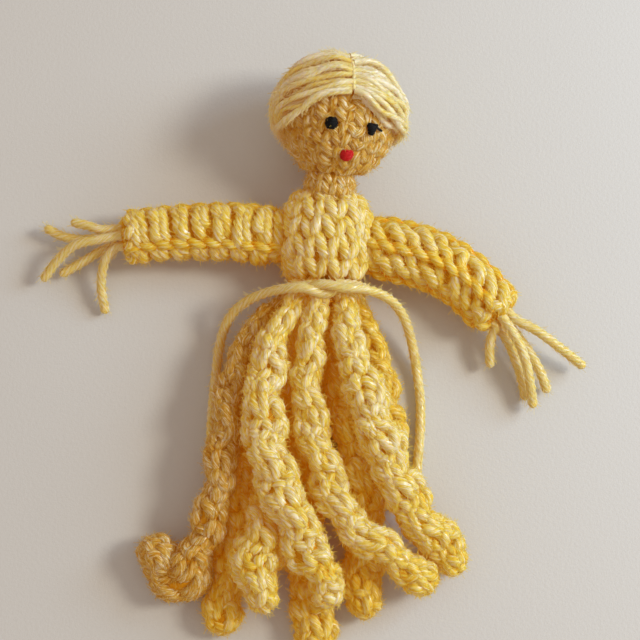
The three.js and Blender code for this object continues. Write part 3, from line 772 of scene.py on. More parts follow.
class YarnSpinner:
    """Spins paths into plied yarn with one Geometry Nodes tree.

    A loose fibre's radius, root and tip are shares of its length. Its stray and its stand say how far it
    leans off the yarn's direction, at random and outwards. It keeps off the table by a share of the fuzz's
    length.
    """

    FIBRE_RADIUS = 0.03
    FIBRE_ROOT = -0.1
    FIBRE_TIP = 0.9
    FIBRE_SIZES = (0.4, 1.3)
    FIBRE_STRAY = 0.6
    FIBRE_STAND = 0.7
    FIBRE_CLEARANCE = 1.2
    PRESSED = 0.97
    CUT_TIP = 0.02

    def __init__(self) -> None:
        """Build the tree."""
        self.tree = bpy.data.node_groups.new("plied_yarn", "GeometryNodeTree")
        interface = self.tree.interface
        interface.new_socket("Geometry", in_out="OUTPUT", socket_type="NodeSocketGeometry")
        kinds = {
            "Geometry": "NodeSocketGeometry", "Radius": "NodeSocketFloat", "Plies": "NodeSocketFloat",
            "Groove": "NodeSocketFloat", "Twist": "NodeSocketFloat", "Spacing": "NodeSocketFloat",
            "Sides": "NodeSocketInt", "Fuzz": "NodeSocketFloat", "Fuzz length": "NodeSocketFloat",
            "Seed": "NodeSocketInt", "Material": "NodeSocketMaterial",
        }
        for name, kind in kinds.items():
            interface.new_socket(name, in_out="INPUT", socket_type=kind)
        self.sockets = {
            item.name: item.identifier for item in interface.items_tree if item.in_out == "INPUT"
        }
        self._wire()

    def _wire(self) -> None:
        """Wire the tree: even spacing, twist, a lobed section, and the attributes that the finish reads."""
        graph = Graph(self.tree)
        group = self.tree.nodes.new("NodeGroupInput")
        given = {name: Value(graph, group.outputs[name]) for name in self.sockets}

        even = graph.node(
            "GeometryNodeResampleCurve", {"mode": "LENGTH"},
            {"Curve": given["Geometry"], "Length": given["Spacing"]},
        )
        reach = graph.node("GeometryNodeSplineParameter", {}, {}, "Length")
        marked = self._store(graph, even, "along", reach)
        swell = graph.node("GeometryNodeInputCurveTilt", {}, {})
        marked = self._store(graph, marked, "swell", swell)
        heading = graph.node("GeometryNodeInputTangent", {}, {})
        marked = self._store(graph, marked, "heading", heading, "FLOAT_VECTOR")
        twisted = graph.node(
            "GeometryNodeSetCurveTilt", {}, {"Curve": marked, "Tilt": reach / given["Twist"] * -FULL_TURN}
        )
        circle = graph.node(
            "GeometryNodeCurvePrimitiveCircle", {"mode": "RADIUS"},
            {"Resolution": given["Sides"], "Radius": given["Radius"]},
        )
        turn = graph.node("GeometryNodeSplineParameter", {}, {}, "Factor") * FULL_TURN
        depth = 1 - abs((turn * given["Plies"] * 0.5).cos())
        where = graph.node("GeometryNodeInputPosition", {}, {})
        lobed = graph.node(
            "ShaderNodeVectorMath", {"operation": "SCALE"},
            {"Vector": where, "Scale": 1 - depth * given["Groove"]},
        )
        ring = self._store(graph, circle, "ring_x", turn.cos())
        ring = self._store(graph, ring, "ring_y", turn.sin())
        ring = self._store(graph, ring, "ply_depth", depth)
        section = graph.node("GeometryNodeSetPosition", {}, {"Geometry": ring, "Position": lobed})
        thickness = graph.node("GeometryNodeInputRadius", {}, {})
        mesh = graph.node(
            "GeometryNodeCurveToMesh", {},
            {"Curve": twisted, "Profile Curve": section, "Scale": thickness, "Fill Caps": True},
        )
        fuzz = self._fuzz(graph, mesh, given)
        both = graph.node("GeometryNodeJoinGeometry", {}, {"Geometry": [mesh, fuzz]})
        smooth = graph.node("GeometryNodeSetShadeSmooth", {}, {"Geometry": both})
        real = graph.node("GeometryNodeRealizeInstances", {}, {"Geometry": smooth})
        done = graph.node("GeometryNodeSetMaterial", {}, {"Geometry": real, "Material": given["Material"]})
        graph.node("NodeGroupOutput", {}, {"Geometry": done})

    def _fuzz(self, graph: Graph, mesh: Value, given: dict[str, Value]) -> Value:
        """Return loose fibres that stand out of the yarn.

        Args:
            graph: The tree's graph.
            mesh: The yarn.
            given: The tree's inputs.

        Returns:
            The fibres as instances.
        """
        inputs = {"Mesh": mesh, "Density": given["Fuzz"], "Seed": given["Seed"]}
        spread = graph.node("GeometryNodeDistributePointsOnFaces", {"distribute_method": "RANDOM"}, inputs)
        normal = Value(graph, spread.socket.node.outputs["Normal"])
        stray = graph.node(
            "FunctionNodeRandomValue", {"data_type": "FLOAT_VECTOR"},
            {0: (-1.0, -1.0, -1.0), 1: (1.0, 1.0, 1.0), "Seed": given["Seed"]},
        )
        heading = graph.node(
            "GeometryNodeInputNamedAttribute", {"data_type": "FLOAT_VECTOR"}, {"Name": "heading"}
        )
        mixed = {"operation": "MULTIPLY_ADD"}
        strewn = graph.node("ShaderNodeVectorMath", mixed, {0: stray, 1: (self.FIBRE_STRAY,) * 3, 2: heading})
        lean = graph.node("ShaderNodeVectorMath", mixed, {0: normal, 1: (self.FIBRE_STAND,) * 3, 2: strewn})
        turned = graph.node("FunctionNodeAlignRotationToVector", {"axis": "Z"}, {"Vector": lean})
        least, most = self.FIBRE_SIZES
        size = graph.node(
            "FunctionNodeRandomValue", {"data_type": "FLOAT"}, {2: least, 3: most, "Seed": given["Seed"]}, 1
        )
        line = graph.node(
            "GeometryNodeCurvePrimitiveLine", {"mode": "POINTS"},
            {"Start": (0.0, 0.0, self.FIBRE_ROOT), "End": (0.0, 0.0, self.FIBRE_TIP)},
        )
        outline = graph.node(
            "GeometryNodeCurvePrimitiveCircle", {"mode": "RADIUS"},
            {"Resolution": 3, "Radius": self.FIBRE_RADIUS},
        )
        fibre = graph.node("GeometryNodeCurveToMesh", {}, {"Curve": line, "Profile Curve": outline})
        marked = self._store(graph, fibre, "loose_fibre", 1.0)
        root = graph.node("GeometryNodeInputPosition", {}, {})
        height = graph.node("ShaderNodeSeparateXYZ", {}, {0: root}, "Z")
        clear = graph.node(
            "FunctionNodeCompare", {"data_type": "FLOAT", "operation": "GREATER_THAN"},
            {0: height, 1: given["Fuzz length"] * self.FIBRE_CLEARANCE},
        )
        return graph.node(
            "GeometryNodeInstanceOnPoints", {},
            {
                "Points": spread, "Selection": clear, "Instance": marked, "Rotation": turned,
                "Scale": size * given["Fuzz length"],
            },
        )

    @staticmethod
    def _store(
        graph: Graph, geometry: Value, name: str, value: Union[Value, float], kind: str = "FLOAT"
    ) -> Value:
        """Return the geometry with a number or a vector stored on its points."""
        settings = {"data_type": kind, "domain": "POINT"}
        return graph.node(
            "GeometryNodeStoreNamedAttribute", settings, {"Geometry": geometry, "Name": name, "Value": value}
        )

    def spin(
        self,
        name: str,
        paths: Sequence[Array],
        yarn: Yarn,
        material: bpy.types.Material,
        free_end: bool = False,
    ) -> bpy.types.Object:
        """Spin paths into one mesh of yarn.

        Args:
            name: The piece's name.
            paths: The yarns' middle lines in the dolly's frame.
            yarn: The yarn that they are spun as.
            material: Its finish.
            free_end: True where the last end of each path is cut and rounds off.

        Returns:
            The piece, as a plain mesh at the origin.
        """
        data = bpy.data.curves.new(name, "CURVE")
        data.dimensions = "3D"
        for path in paths:
            laid = np.array(path)[:, :3]
            swell = path[:, 3] if path.shape[1] > 3 else np.ones(len(path))
            laid[:, 2] = np.maximum(laid[:, 2], yarn.radius * self.PRESSED * swell)
            laid = (laid + SHIFT) * MM
            spline = data.splines.new("POLY")
            spline.points.add(len(laid) - 1)
            spline.points.foreach_set("co", np.hstack([laid, np.ones((len(laid), 1))]).ravel())
            spline.points.foreach_set("tilt", swell)
            if free_end:
                left = np.linalg.norm(laid - laid[-1], axis=1) / (yarn.radius * MM)
                left = np.clip(left, self.CUT_TIP, 1)
                swell = swell * np.sqrt(left * (2 - left))
            spline.points.foreach_set("radius", swell)
        curve = bpy.data.objects.new(name + "_path", data)
        bpy.context.scene.collection.objects.link(curve)
        modifier = curve.modifiers.new("plied_yarn", "NODES")
        modifier.node_group = self.tree
        sizes = {
            "Radius": yarn.radius * MM, "Plies": float(yarn.plies), "Groove": yarn.groove,
            "Twist": yarn.twist * MM, "Spacing": yarn.spacing * MM, "Sides": yarn.sides, "Material": material,
            "Fuzz": yarn.fuzz / MM**2, "Fuzz length": yarn.fuzz_length * MM, "Seed": SEED,
        }
        for socket, value in sizes.items():
            modifier[self.sockets[socket]] = value
        bpy.context.view_layer.update()
        evaluated = curve.evaluated_get(bpy.context.evaluated_depsgraph_get())
        mesh = bpy.data.meshes.new_from_object(evaluated)
        bpy.data.objects.remove(curve)
        piece = bpy.data.objects.new(name, mesh)
        bpy.context.scene.collection.objects.link(piece)
        return piece


def mesh_piece(
    name: str, points: Array, faces: Sequence[Sequence[int]], material: bpy.types.Material
) -> bpy.types.Object:
    """Make a smooth mesh piece from points in the dolly's frame.

    Args:
        name: The piece's name.
        points: Its corners in millimetres.
        faces: Its faces as corner numbers.
        material: Its finish.

    Returns:
        The piece.
    """
    mesh = bpy.data.meshes.new(name)
    mesh.from_pydata(((points + SHIFT) * MM).tolist(), [], [list(face) for face in faces])
    mesh.polygons.foreach_set("use_smooth", [True] * len(mesh.polygons))
    mesh.materials.append(material)
    piece = bpy.data.objects.new(name, mesh)
    bpy.context.scene.collection.objects.link(piece)
    return piece


@dataclass(frozen=True)
class Lining:
    """The closed, slightly lumpy lining of a limb: its mesh, its lumps and how far it keeps off the table."""

    sides: int = 28
    ring_spacing: float = 1.2
    least_rings: int = 12
    lump: float = 0.18
    lumps_round: int = 3
    lump_spiral: float = 1.1
    lump_wave: float = 0.9
    deepest: float = 0.8
    table_gap: float = 0.35

    def make(
        self,
        name: str,
        tube: Tube,
        depth: float,
        material: bpy.types.Material,
        place: Matrix = Matrix.Identity(4),
    ) -> bpy.types.Object:
        """Make a limb's lining.

        Args:
            name: The piece's name.
            tube: The limb.
            depth: How far the lining lies under the skin.
            material: Its finish.
            place: Where the limb's own frame lies in the dolly's.

        Returns:
            The piece.
        """
        sides, rings = self.sides, max(self.least_rings, int(tube.length / self.ring_spacing))
        m = np.linspace(0, tube.length, rings)[:, None]
        turn = np.arange(sides)[None, :] * FULL_TURN / sides
        lump = self.lump * np.sin(self.lumps_round * turn + self.lump_spiral * m) * np.sin(self.lump_wave * m)
        inset = np.minimum(depth, self.deepest * tube.radius(m))
        skin = tube.place(turn, m, lump - inset).reshape(-1, 3)
        ends = [skin[:sides].mean(0), skin[-sides:].mean(0)]
        points = carried(np.vstack([skin, *ends]), place)
        points[:, 2] = np.maximum(points[:, 2], self.table_gap)
        faces: list[list[int]] = []
        last = (rings - 1) * sides
        for k in range(sides):
            n = (k + 1) % sides
            for a in range(0, last, sides):
                b = a + sides
                faces.append([a + k, b + k, b + n, a + n])
            faces.append([rings * sides, k, n])
            faces.append([rings * sides + 1, last + n, last + k])
        piece = mesh_piece(name, points, faces, material)
        outward(piece)
        return piece


def outward(piece: bpy.types.Object) -> None:
    """Turn a closed piece's faces outwards."""
    work = bmesh.new()
    work.from_mesh(piece.data)
    bmesh.ops.recalc_face_normals(work, faces=work.faces)
    work.to_mesh(piece.data)
    work.free()


def carried(points: Array, place: Matrix) -> Array:
    """Return points moved by a matrix in millimetres, with the other numbers of their rows."""
    matrix, points = np.array(place), np.asarray(points)
    return np.hstack([points[:, :3] @ matrix[:3, :3].T + matrix[:3, 3], points[:, 3:]])


def settle(piece: bpy.types.Object, body: str, slot: str, *nodes: str) -> bpy.types.Object:
    """Let a piece ride on a body, hide the solids that it stands for, and report it.

    Args:
        piece: The finished piece.
        body: The body that it moves with.
        slot: The record's material slot; not used.
        nodes: The CAD nodes that it replaces.

    Returns:
        The piece.
    """
    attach(piece, body)
    if nodes:
        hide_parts(*nodes)
    triangles = len(piece.data.loops) - 2 * len(piece.data.polygons)
    log.info("%s rides on %s: %d triangles", piece.name, body, triangles)
    return piece


@dataclass
class Wardrobe:
    """The yarns and finishes that the pieces share."""

    spinner: YarnSpinner = field(default_factory=YarnSpinner)
    crochet: Yarn = Yarn()
    fine: Yarn = Yarn(radius=0.95)
    thick: Yarn = Yarn(radius=1.14)
    bulky: Yarn = Yarn(radius=1.2)
    strand: Yarn = Yarn(radius=1.05)
    cord: Yarn = Yarn(radius=1.02, spacing=0.3)
    hair: Yarn = Yarn(radius=0.64, groove=0.26, twist=6.0, spacing=0.5, sides=10)
    thread: Yarn = Yarn(radius=0.28, plies=2, twist=1.6, spacing=0.2, sides=8, fuzz=0.0)
    straw: bpy.types.Material = field(init=False)
    shaded_amber: bpy.types.Material = field(init=False)
    deep: bpy.types.Material = field(init=False)
    pale: bpy.types.Material = field(init=False)
    lit_hair_finish: bpy.types.Material = field(init=False)
    shade: bpy.types.Material = field(init=False)
    black: bpy.types.Material = field(init=False)
    red: bpy.types.Material = field(init=False)

    def __post_init__(self) -> None:
        """Make the finishes."""
        # Each list runs from painted shade in the grooves to painted highlight on lit fibres. The second and
        # the fifth lists are the straw yarn painted darker, as painted shade on the back strands and on the
        # head, neck and first front strand. The third and fourth are the straw yarn painted lighter, as
        # painted light on the tails, the waist tie, the fingers and the hair. The glow in each finish is
        # painted glow.
        straw = (0.62, 0.17, 0.001, 1), (0.64, 0.38, 0.003, 1), (0.66, 0.57, 0.07, 1), (0.69, 0.69, 0.52, 1)
        shaded_amber = (0.6, 0.16, 0.001, 1), (0.63, 0.34, 0.002, 1), (0.65, 0.5, 0.04, 1), (0.68, 0.64, 0.34, 1)
        pale = (0.6, 0.3, 0.01, 1), (0.64, 0.47, 0.04, 1), (0.66, 0.6, 0.2, 1), (0.7, 0.7, 0.56, 1)
        lit_cream = (0.6, 0.31, 0.015, 1), (0.65, 0.51, 0.06, 1), (0.68, 0.64, 0.26, 1), (0.72, 0.72, 0.58, 1)
        deep = (0.4, 0.09, 0.001, 1), (0.46, 0.21, 0.005, 1), (0.55, 0.38, 0.06, 1), (0.68, 0.66, 0.5, 1)
        self.straw = SpunFinish(
            "straw_yarn", straw, lift=-0.14, contrast=0.44, painted_low_shade=0.25, seep=0.5, glow=0.12
        ).make()
        self.shaded_amber = SpunFinish("amber_yarn", shaded_amber, lift=-0.14, seep=0.5, glow=0.11).make()
        self.deep = SpunFinish("deep_straw_yarn", deep, lift=-0.24, contrast=0.52, seep=0.5, glow=0.08).make()
        self.pale = SpunFinish("pale_straw_yarn", pale, lift=0.08, seep=0.5, glow=0.1).make()
        self.lit_hair_finish = SpunFinish("hair_yarn", lit_cream, lift=0.04, contrast=0.6, seep=0.5, glow=0.09).make()
        self.shade = LiningFinish().make()
        self.black = SpunFinish(
            "black_thread", ((0.001, 0.001, 0.0015, 1), (0.002, 0.002, 0.003, 1), (0.012, 0.012, 0.015, 1)),
            roughness=0.35, gloss=0.05, sheen=0.0,
        ).make()
        self.red = SpunFinish(
            "red_thread", ((0.3, 0.002, 0.004, 1), (0.55, 0.006, 0.009, 1), (0.75, 0.03, 0.03, 1)), gloss=0.3,
        ).make()


@dataclass(frozen=True)
class Lamp:
    """A square area lamp: its place in the shared frame, its size, its energy and its colour."""

    name: str
    place: Point
    size: float
    energy: float
    colour: Point


@dataclass
class Studio:
    """The camera, the table and the light."""

    aim: Point = (-0.65, -5.6, 8.0)
    elevation: float = 79.0
    distance: float = 330.0
    field_width: float = 128.0
    sensor: float = 36.0
    clip: tuple[float, float] = (0.01, 10.0)
    table_half: float = 900.0
    table_gap: float = 0.02
    lamps: tuple[Lamp, ...] = (
        Lamp("lamp", (647, 60, 625), 200, 3.5, (1.0, 0.94, 0.79)),
        Lamp("window", (335, 122, 210), 180, 0.9, (0.6, 0.8, 1.0)),
    )
    lit_spot: Point = (0, 5, 0)
    room_colour: Colour = (1.0, 0.83, 0.7, 1)
    room_strength: float = 0.55

    def camera(self) -> None:
        """Set the camera at the photograph's angle, looking down from the dolly's feet."""
        data = bpy.data.cameras.new("camera")
        data.sensor_width = self.sensor
        data.lens = self.sensor * self.distance / self.field_width
        data.clip_start, data.clip_end = self.clip
        camera = bpy.data.objects.new("camera", data)
        tilt = math.radians(self.elevation)
        away = Vector((0, -math.cos(tilt), math.sin(tilt)))
        camera.location = (Vector(self.aim) + Vector(SHIFT) + away * self.distance) * MM
        camera.rotation_euler = (math.pi / 2 - tilt, 0, 0)
        bpy.context.scene.collection.objects.link(camera)
        bpy.context.scene.camera = camera

    def light(self) -> None:
        """Hang a warm lamp and a cool window on the dolly's left, and fill the room with warm light."""
        for lamp in self.lamps:
            data = bpy.data.lights.new(lamp.name, "AREA")
            data.size, data.energy, data.color = lamp.size * MM, lamp.energy, lamp.colour
            hung = bpy.data.objects.new(lamp.name, data)
            hung.location = Vector(lamp.place) * MM
            ray = Vector(self.lit_spot) - Vector(lamp.place)
            hung.rotation_euler = ray.to_track_quat("-Z", "Y").to_euler()
            bpy.context.scene.collection.objects.link(hung)
        world = bpy.data.worlds.new("room")
        world.use_nodes = True
        background = world.node_tree.nodes["Background"]
        background.inputs["Color"].default_value = self.room_colour
        background.inputs["Strength"].default_value = self.room_strength
        bpy.context.scene.world = world
        bpy.context.scene.view_settings.view_transform = "Standard"

    def table(self) -> None:
        """Lay the table top."""
        h, low = self.table_half, -self.table_gap
        corners = np.array([[-h, -h, low], [h, -h, low], [h, h, low], [-h, h, low]])
        table = mesh_piece("table_top", corners - SHIFT, [[0, 1, 2, 3]], TableFinish().make())


@dataclass
class WaistTie:
    """The yarn tied round the waist: a wrap, a knot in front and two loose ends."""

    wrap_half_width: float = 8.6
    wrap_half_depth: float = 6.3
    wrap_gap: float = 0.28
    wrap_ripple: float = 0.25
    wrap_points: int = 60
    right_tail: tuple[Point, ...] = (
        (-3.6, -0.6, 15.7), (-5.4, -0.6, 15.4), (-8.2, -0.6, 14.0), (-11.6, -1.0, 11.9), (-15.2, -2.1, 9.5),
        (-18.2, -4.1, 6.9), (-20.2, -7.4, 4.3), (-21.3, -11.8, 2.4), (-21.9, -17.0, 1.5), (-22.4, -22.6, 1.3),
        (-22.6, -28.0, 1.3), (-22.5, -32.8, 1.3))
    left_tail: tuple[Point, ...] = (
        (3.6, -0.6, 15.7), (5.4, -0.6, 15.4), (8.2, -0.6, 14.0), (11.6, -1.2, 11.7), (14.6, -2.8, 8.9),
        (16.7, -5.8, 6.0), (18.1, -10.2, 3.4), (19.0, -15.2, 1.8), (19.6, -21.0, 1.4), (19.5, -27.6, 1.3),
        (18.9, -34.0, 1.3), (18.5, -39.0, 1.3))

    def tails(self, kit: Wardrobe) -> None:
        """Spin the two loose ends as cords."""
        for name, knots in (("waist_tail_right", self.right_tail), ("waist_tail_left", self.left_tail)):
            route = Route(knots)
            # The pale finish is painted light: the straw yarn painted lighter where the cords lie in full
            # light.
            tail = kit.spinner.spin(name + "_yarn", [route.points], kit.cord, kit.pale, free_end=True)
            settle(tail, "torso", "straw_yarn", name)
            path = (route.points[::2] + SHIFT) * MM

    def build(self, kit: Wardrobe) -> None:
        """Spin the wrap and the knot."""
        front_turn = math.pi / 2
        last_turn = front_turn + FULL_TURN - self.wrap_gap
        turn = np.linspace(front_turn + self.wrap_gap, last_turn, self.wrap_points)
        path = np.stack([
            self.wrap_half_width * np.cos(turn),
            WAIST_TIE_LEVEL + self.wrap_ripple * np.sin(2 * turn),
            WAIST_HEIGHT + self.wrap_half_depth * np.sin(turn),
        ], axis=1)
        # The pale finish is painted light: the straw yarn painted lighter where the cords lie in full light.
        wrap = kit.spinner.spin("waist_wrap_yarn", [path], kit.cord, kit.pale)
        settle(wrap, "torso", "straw_yarn", "waist_wrap")
        front = WAIST_HEIGHT + self.wrap_half_depth
        over = smooth_path(np.array([
            [4.6, -0.6, 15.6], [3.6, -0.6, 15.7], [1.8, -0.2, 15.8], [0.0, 0.1, 15.6], [-1.6, 0.0, 14.9],
            [-2.6, -0.3, front], [-2.8, -0.4, front - 0.8],
        ]))
        under = smooth_path(np.array([
            [-4.6, -0.6, 15.6], [-3.6, -0.7, 15.7], [-2.0, -1.1, 15.3], [-0.4, -1.5, 14.5], [1.2, -1.3, 13.9],
            [2.4, -0.6, front], [2.8, 0.2, front - 0.8],
        ]))
        # The pale finish is painted light: the straw yarn painted lighter where the cords lie in full light.
        knot = kit.spinner.spin("waist_knot_yarn", [over, under], kit.cord, kit.pale)
        settle(knot, "torso", "straw_yarn", "waist_knot")


@dataclass
class Torso:
    """The crocheted barrel of the body, its filling and the yoke of the skirt."""

    width: float = 19.0
    depth: float = 16.0
    height: float = 18.6
    base: float = 2.5
    offset: float = 0.6
    levels: tuple[float, ...] = (0, 0.2, 0.5, 0.74, 0.92, 0.97, 1)
    fullness: tuple[float, ...] = (0.77, 0.95, 1, 0.94, 0.72, 0.55, 0.3)
    gauge: Gauge = Gauge(
        Stitch.VEE, 4.4, 4.1, 1.3, relief=0.5, upward=-1.0, sunk=0.7, first=0.9, spare=0.4, turn=0.3
    )
    filling_depth: float = 1.3
    pocket: Point = (6.0, 6.0, 4.8)
    pocket_give: float = 0.6
    pocket_step: float = 0.15
    pocket_steps: int = 40
    yoke_reach: float = 2.4
    yoke_flare: tuple[float, float] = (1.3, 1.6)
    flare_start: float = 0.35
    yoke_gauge: Gauge = Gauge(Stitch.VEE, 3.9, 2.6, 1.2, first=1.4, spare=1.2)
    yoke_lining_depth: float = 2.4

    def tube(self) -> Tube:
        """Return the barrel's skin, from the waist to the neck."""
        route = Route([(self.offset, self.base + self.height * t, WAIST_HEIGHT) for t in (0, 0.5, 1)])
        half = self.width / 2

        def section(t: Array) -> tuple[Array, Array]:
            """Return the barrel's half width and half depth."""
            size = np.interp(t, self.levels, self.fullness)
            return half * size, half * size * self.depth / self.width

        return Tube(route, section)

    def clear_of_pockets(self, points: Array, yarn: Yarn) -> Array:
        """Return points pressed out of the pockets that the arms' round ends sit in.

        Args:
            points: The yarn's knots.
            yarn: The yarn.

        Returns:
            The knots, moved towards the body's middle where an arm needs the room.
        """
        moved = points[:, :3].copy()
        room = np.array(self.pocket) + yarn.radius * self.pocket_give
        middle = np.array([self.offset, self.base + self.height / 2, WAIST_HEIGHT])
        for shoulder in np.array([RIGHT_SHOULDER, LEFT_SHOULDER]):
            inwards = unit((middle - shoulder) * [1, 0, 0])
            for _ in range(self.pocket_steps):
                inside = (((moved - shoulder) / room) ** 2).sum(1) < 1
                moved[inside] += self.pocket_step * inwards
        return np.hstack([moved, points[:, 3:]])

    def build(self, kit: Wardrobe) -> None:
        """Work the barrel in rounds of tall stitches, fill it and work the yoke."""
        tube = self.tube()
        knots = worked_rounds(tube, self.gauge, kit.thick, Seed.TORSO)
        knots = self.clear_of_pockets(knots, kit.thick)
        shell = kit.spinner.spin("torso_crochet", [smooth_path(knots)], kit.thick, kit.straw)
        settle(shell, "torso", "straw_yarn", "torso_shell")
        filling = Lining().make("torso_filling", tube, self.filling_depth, kit.shade)
        settle(filling, "torso", "stuffing", "torso_stuffing")
        self.yoke(kit)

    def yoke(self, kit: Wardrobe) -> None:
        """Work the yoke in rounds and line it."""
        route = Route([(0, y, WAIST_HEIGHT) for y in (self.yoke_reach, 0.0, -self.yoke_reach)])
        wider, deeper = self.yoke_flare

        def flare(t: Array) -> tuple[Array, Array]:
            """Return the yoke's half width and half depth, which widen towards the strands."""
            spread = ease(t, self.flare_start)
            return YOKE_HALF_WIDTH + wider * spread, YOKE_HALF_DEPTH + deeper * spread

        tube = Tube(route, flare)
        band = worked_rounds(tube, self.yoke_gauge, kit.fine, Seed.YOKE)
        collar = kit.spinner.spin("skirt_yoke_crochet", [smooth_path(band)], kit.fine, kit.straw)
        settle(collar, "torso", "straw_yarn", "skirt_yoke")
        inside = Lining().make("skirt_yoke_lining", tube, self.yoke_lining_depth, kit.shade)
        settle(inside, "torso", "straw_yarn")


@dataclass(frozen=True)
class Hair:
    """How the hair lies: its layers, its sweep and its unevenness.

    The bends and ends are directions from the ball's middle, for the strands at the hairline, halfway along
    the parting and at the back. A fall is how far the hairline's end hangs, on the right and on the left.
    """

    counts: tuple[int, int] = (22, 32)
    lifts: tuple[float, float] = (0.7, 1.75)
    points: int = 44
    hairline: float = 27.0
    sweep: float = 125.0
    parting_gap: float = 0.03
    bends: tuple[Point, Point, Point] = ((1.2, -0.06, 0.86), (1.42, 0.36, -0.6), (0.45, 0.1, -1.1))
    ends: tuple[Point, Point, Point] = ((0.7, 0.0, -0.52), (0.5, -0.56, -0.66), (0.18, -0.58, -0.79))
    falls: tuple[float, float] = (0.3, 0.14)
    crowding: float = 0.35
    drift: float = 0.08
    drift_waves: tuple[float, float] = (4, 11)
    crimp: float = 0.28
    crimp_waves: tuple[float, float] = (12, 24)
    stray: float = 0.36
    root_sink: float = 0.35
    root_span: float = 0.08
    end_sink: float = 0.75
    end_span: float = 0.55
    fullness: float = 0.5
    swell: float = 0.08
    swell_wave: float = 0.07
    swell_waves: tuple[float, float] = (10, 30)
    phases: tuple[float, float] = (0, 6)
    seam_end: float = 72.0
    seam_points: int = 40
    seam_height: float = 1.4
    seam_ripple: float = 0.2
    seam_wave: float = 1.1
    seam_yarn: Yarn = Yarn(radius=0.4, plies=2, groove=0.2, twist=2.2, spacing=0.25, sides=10, fuzz=0.0)


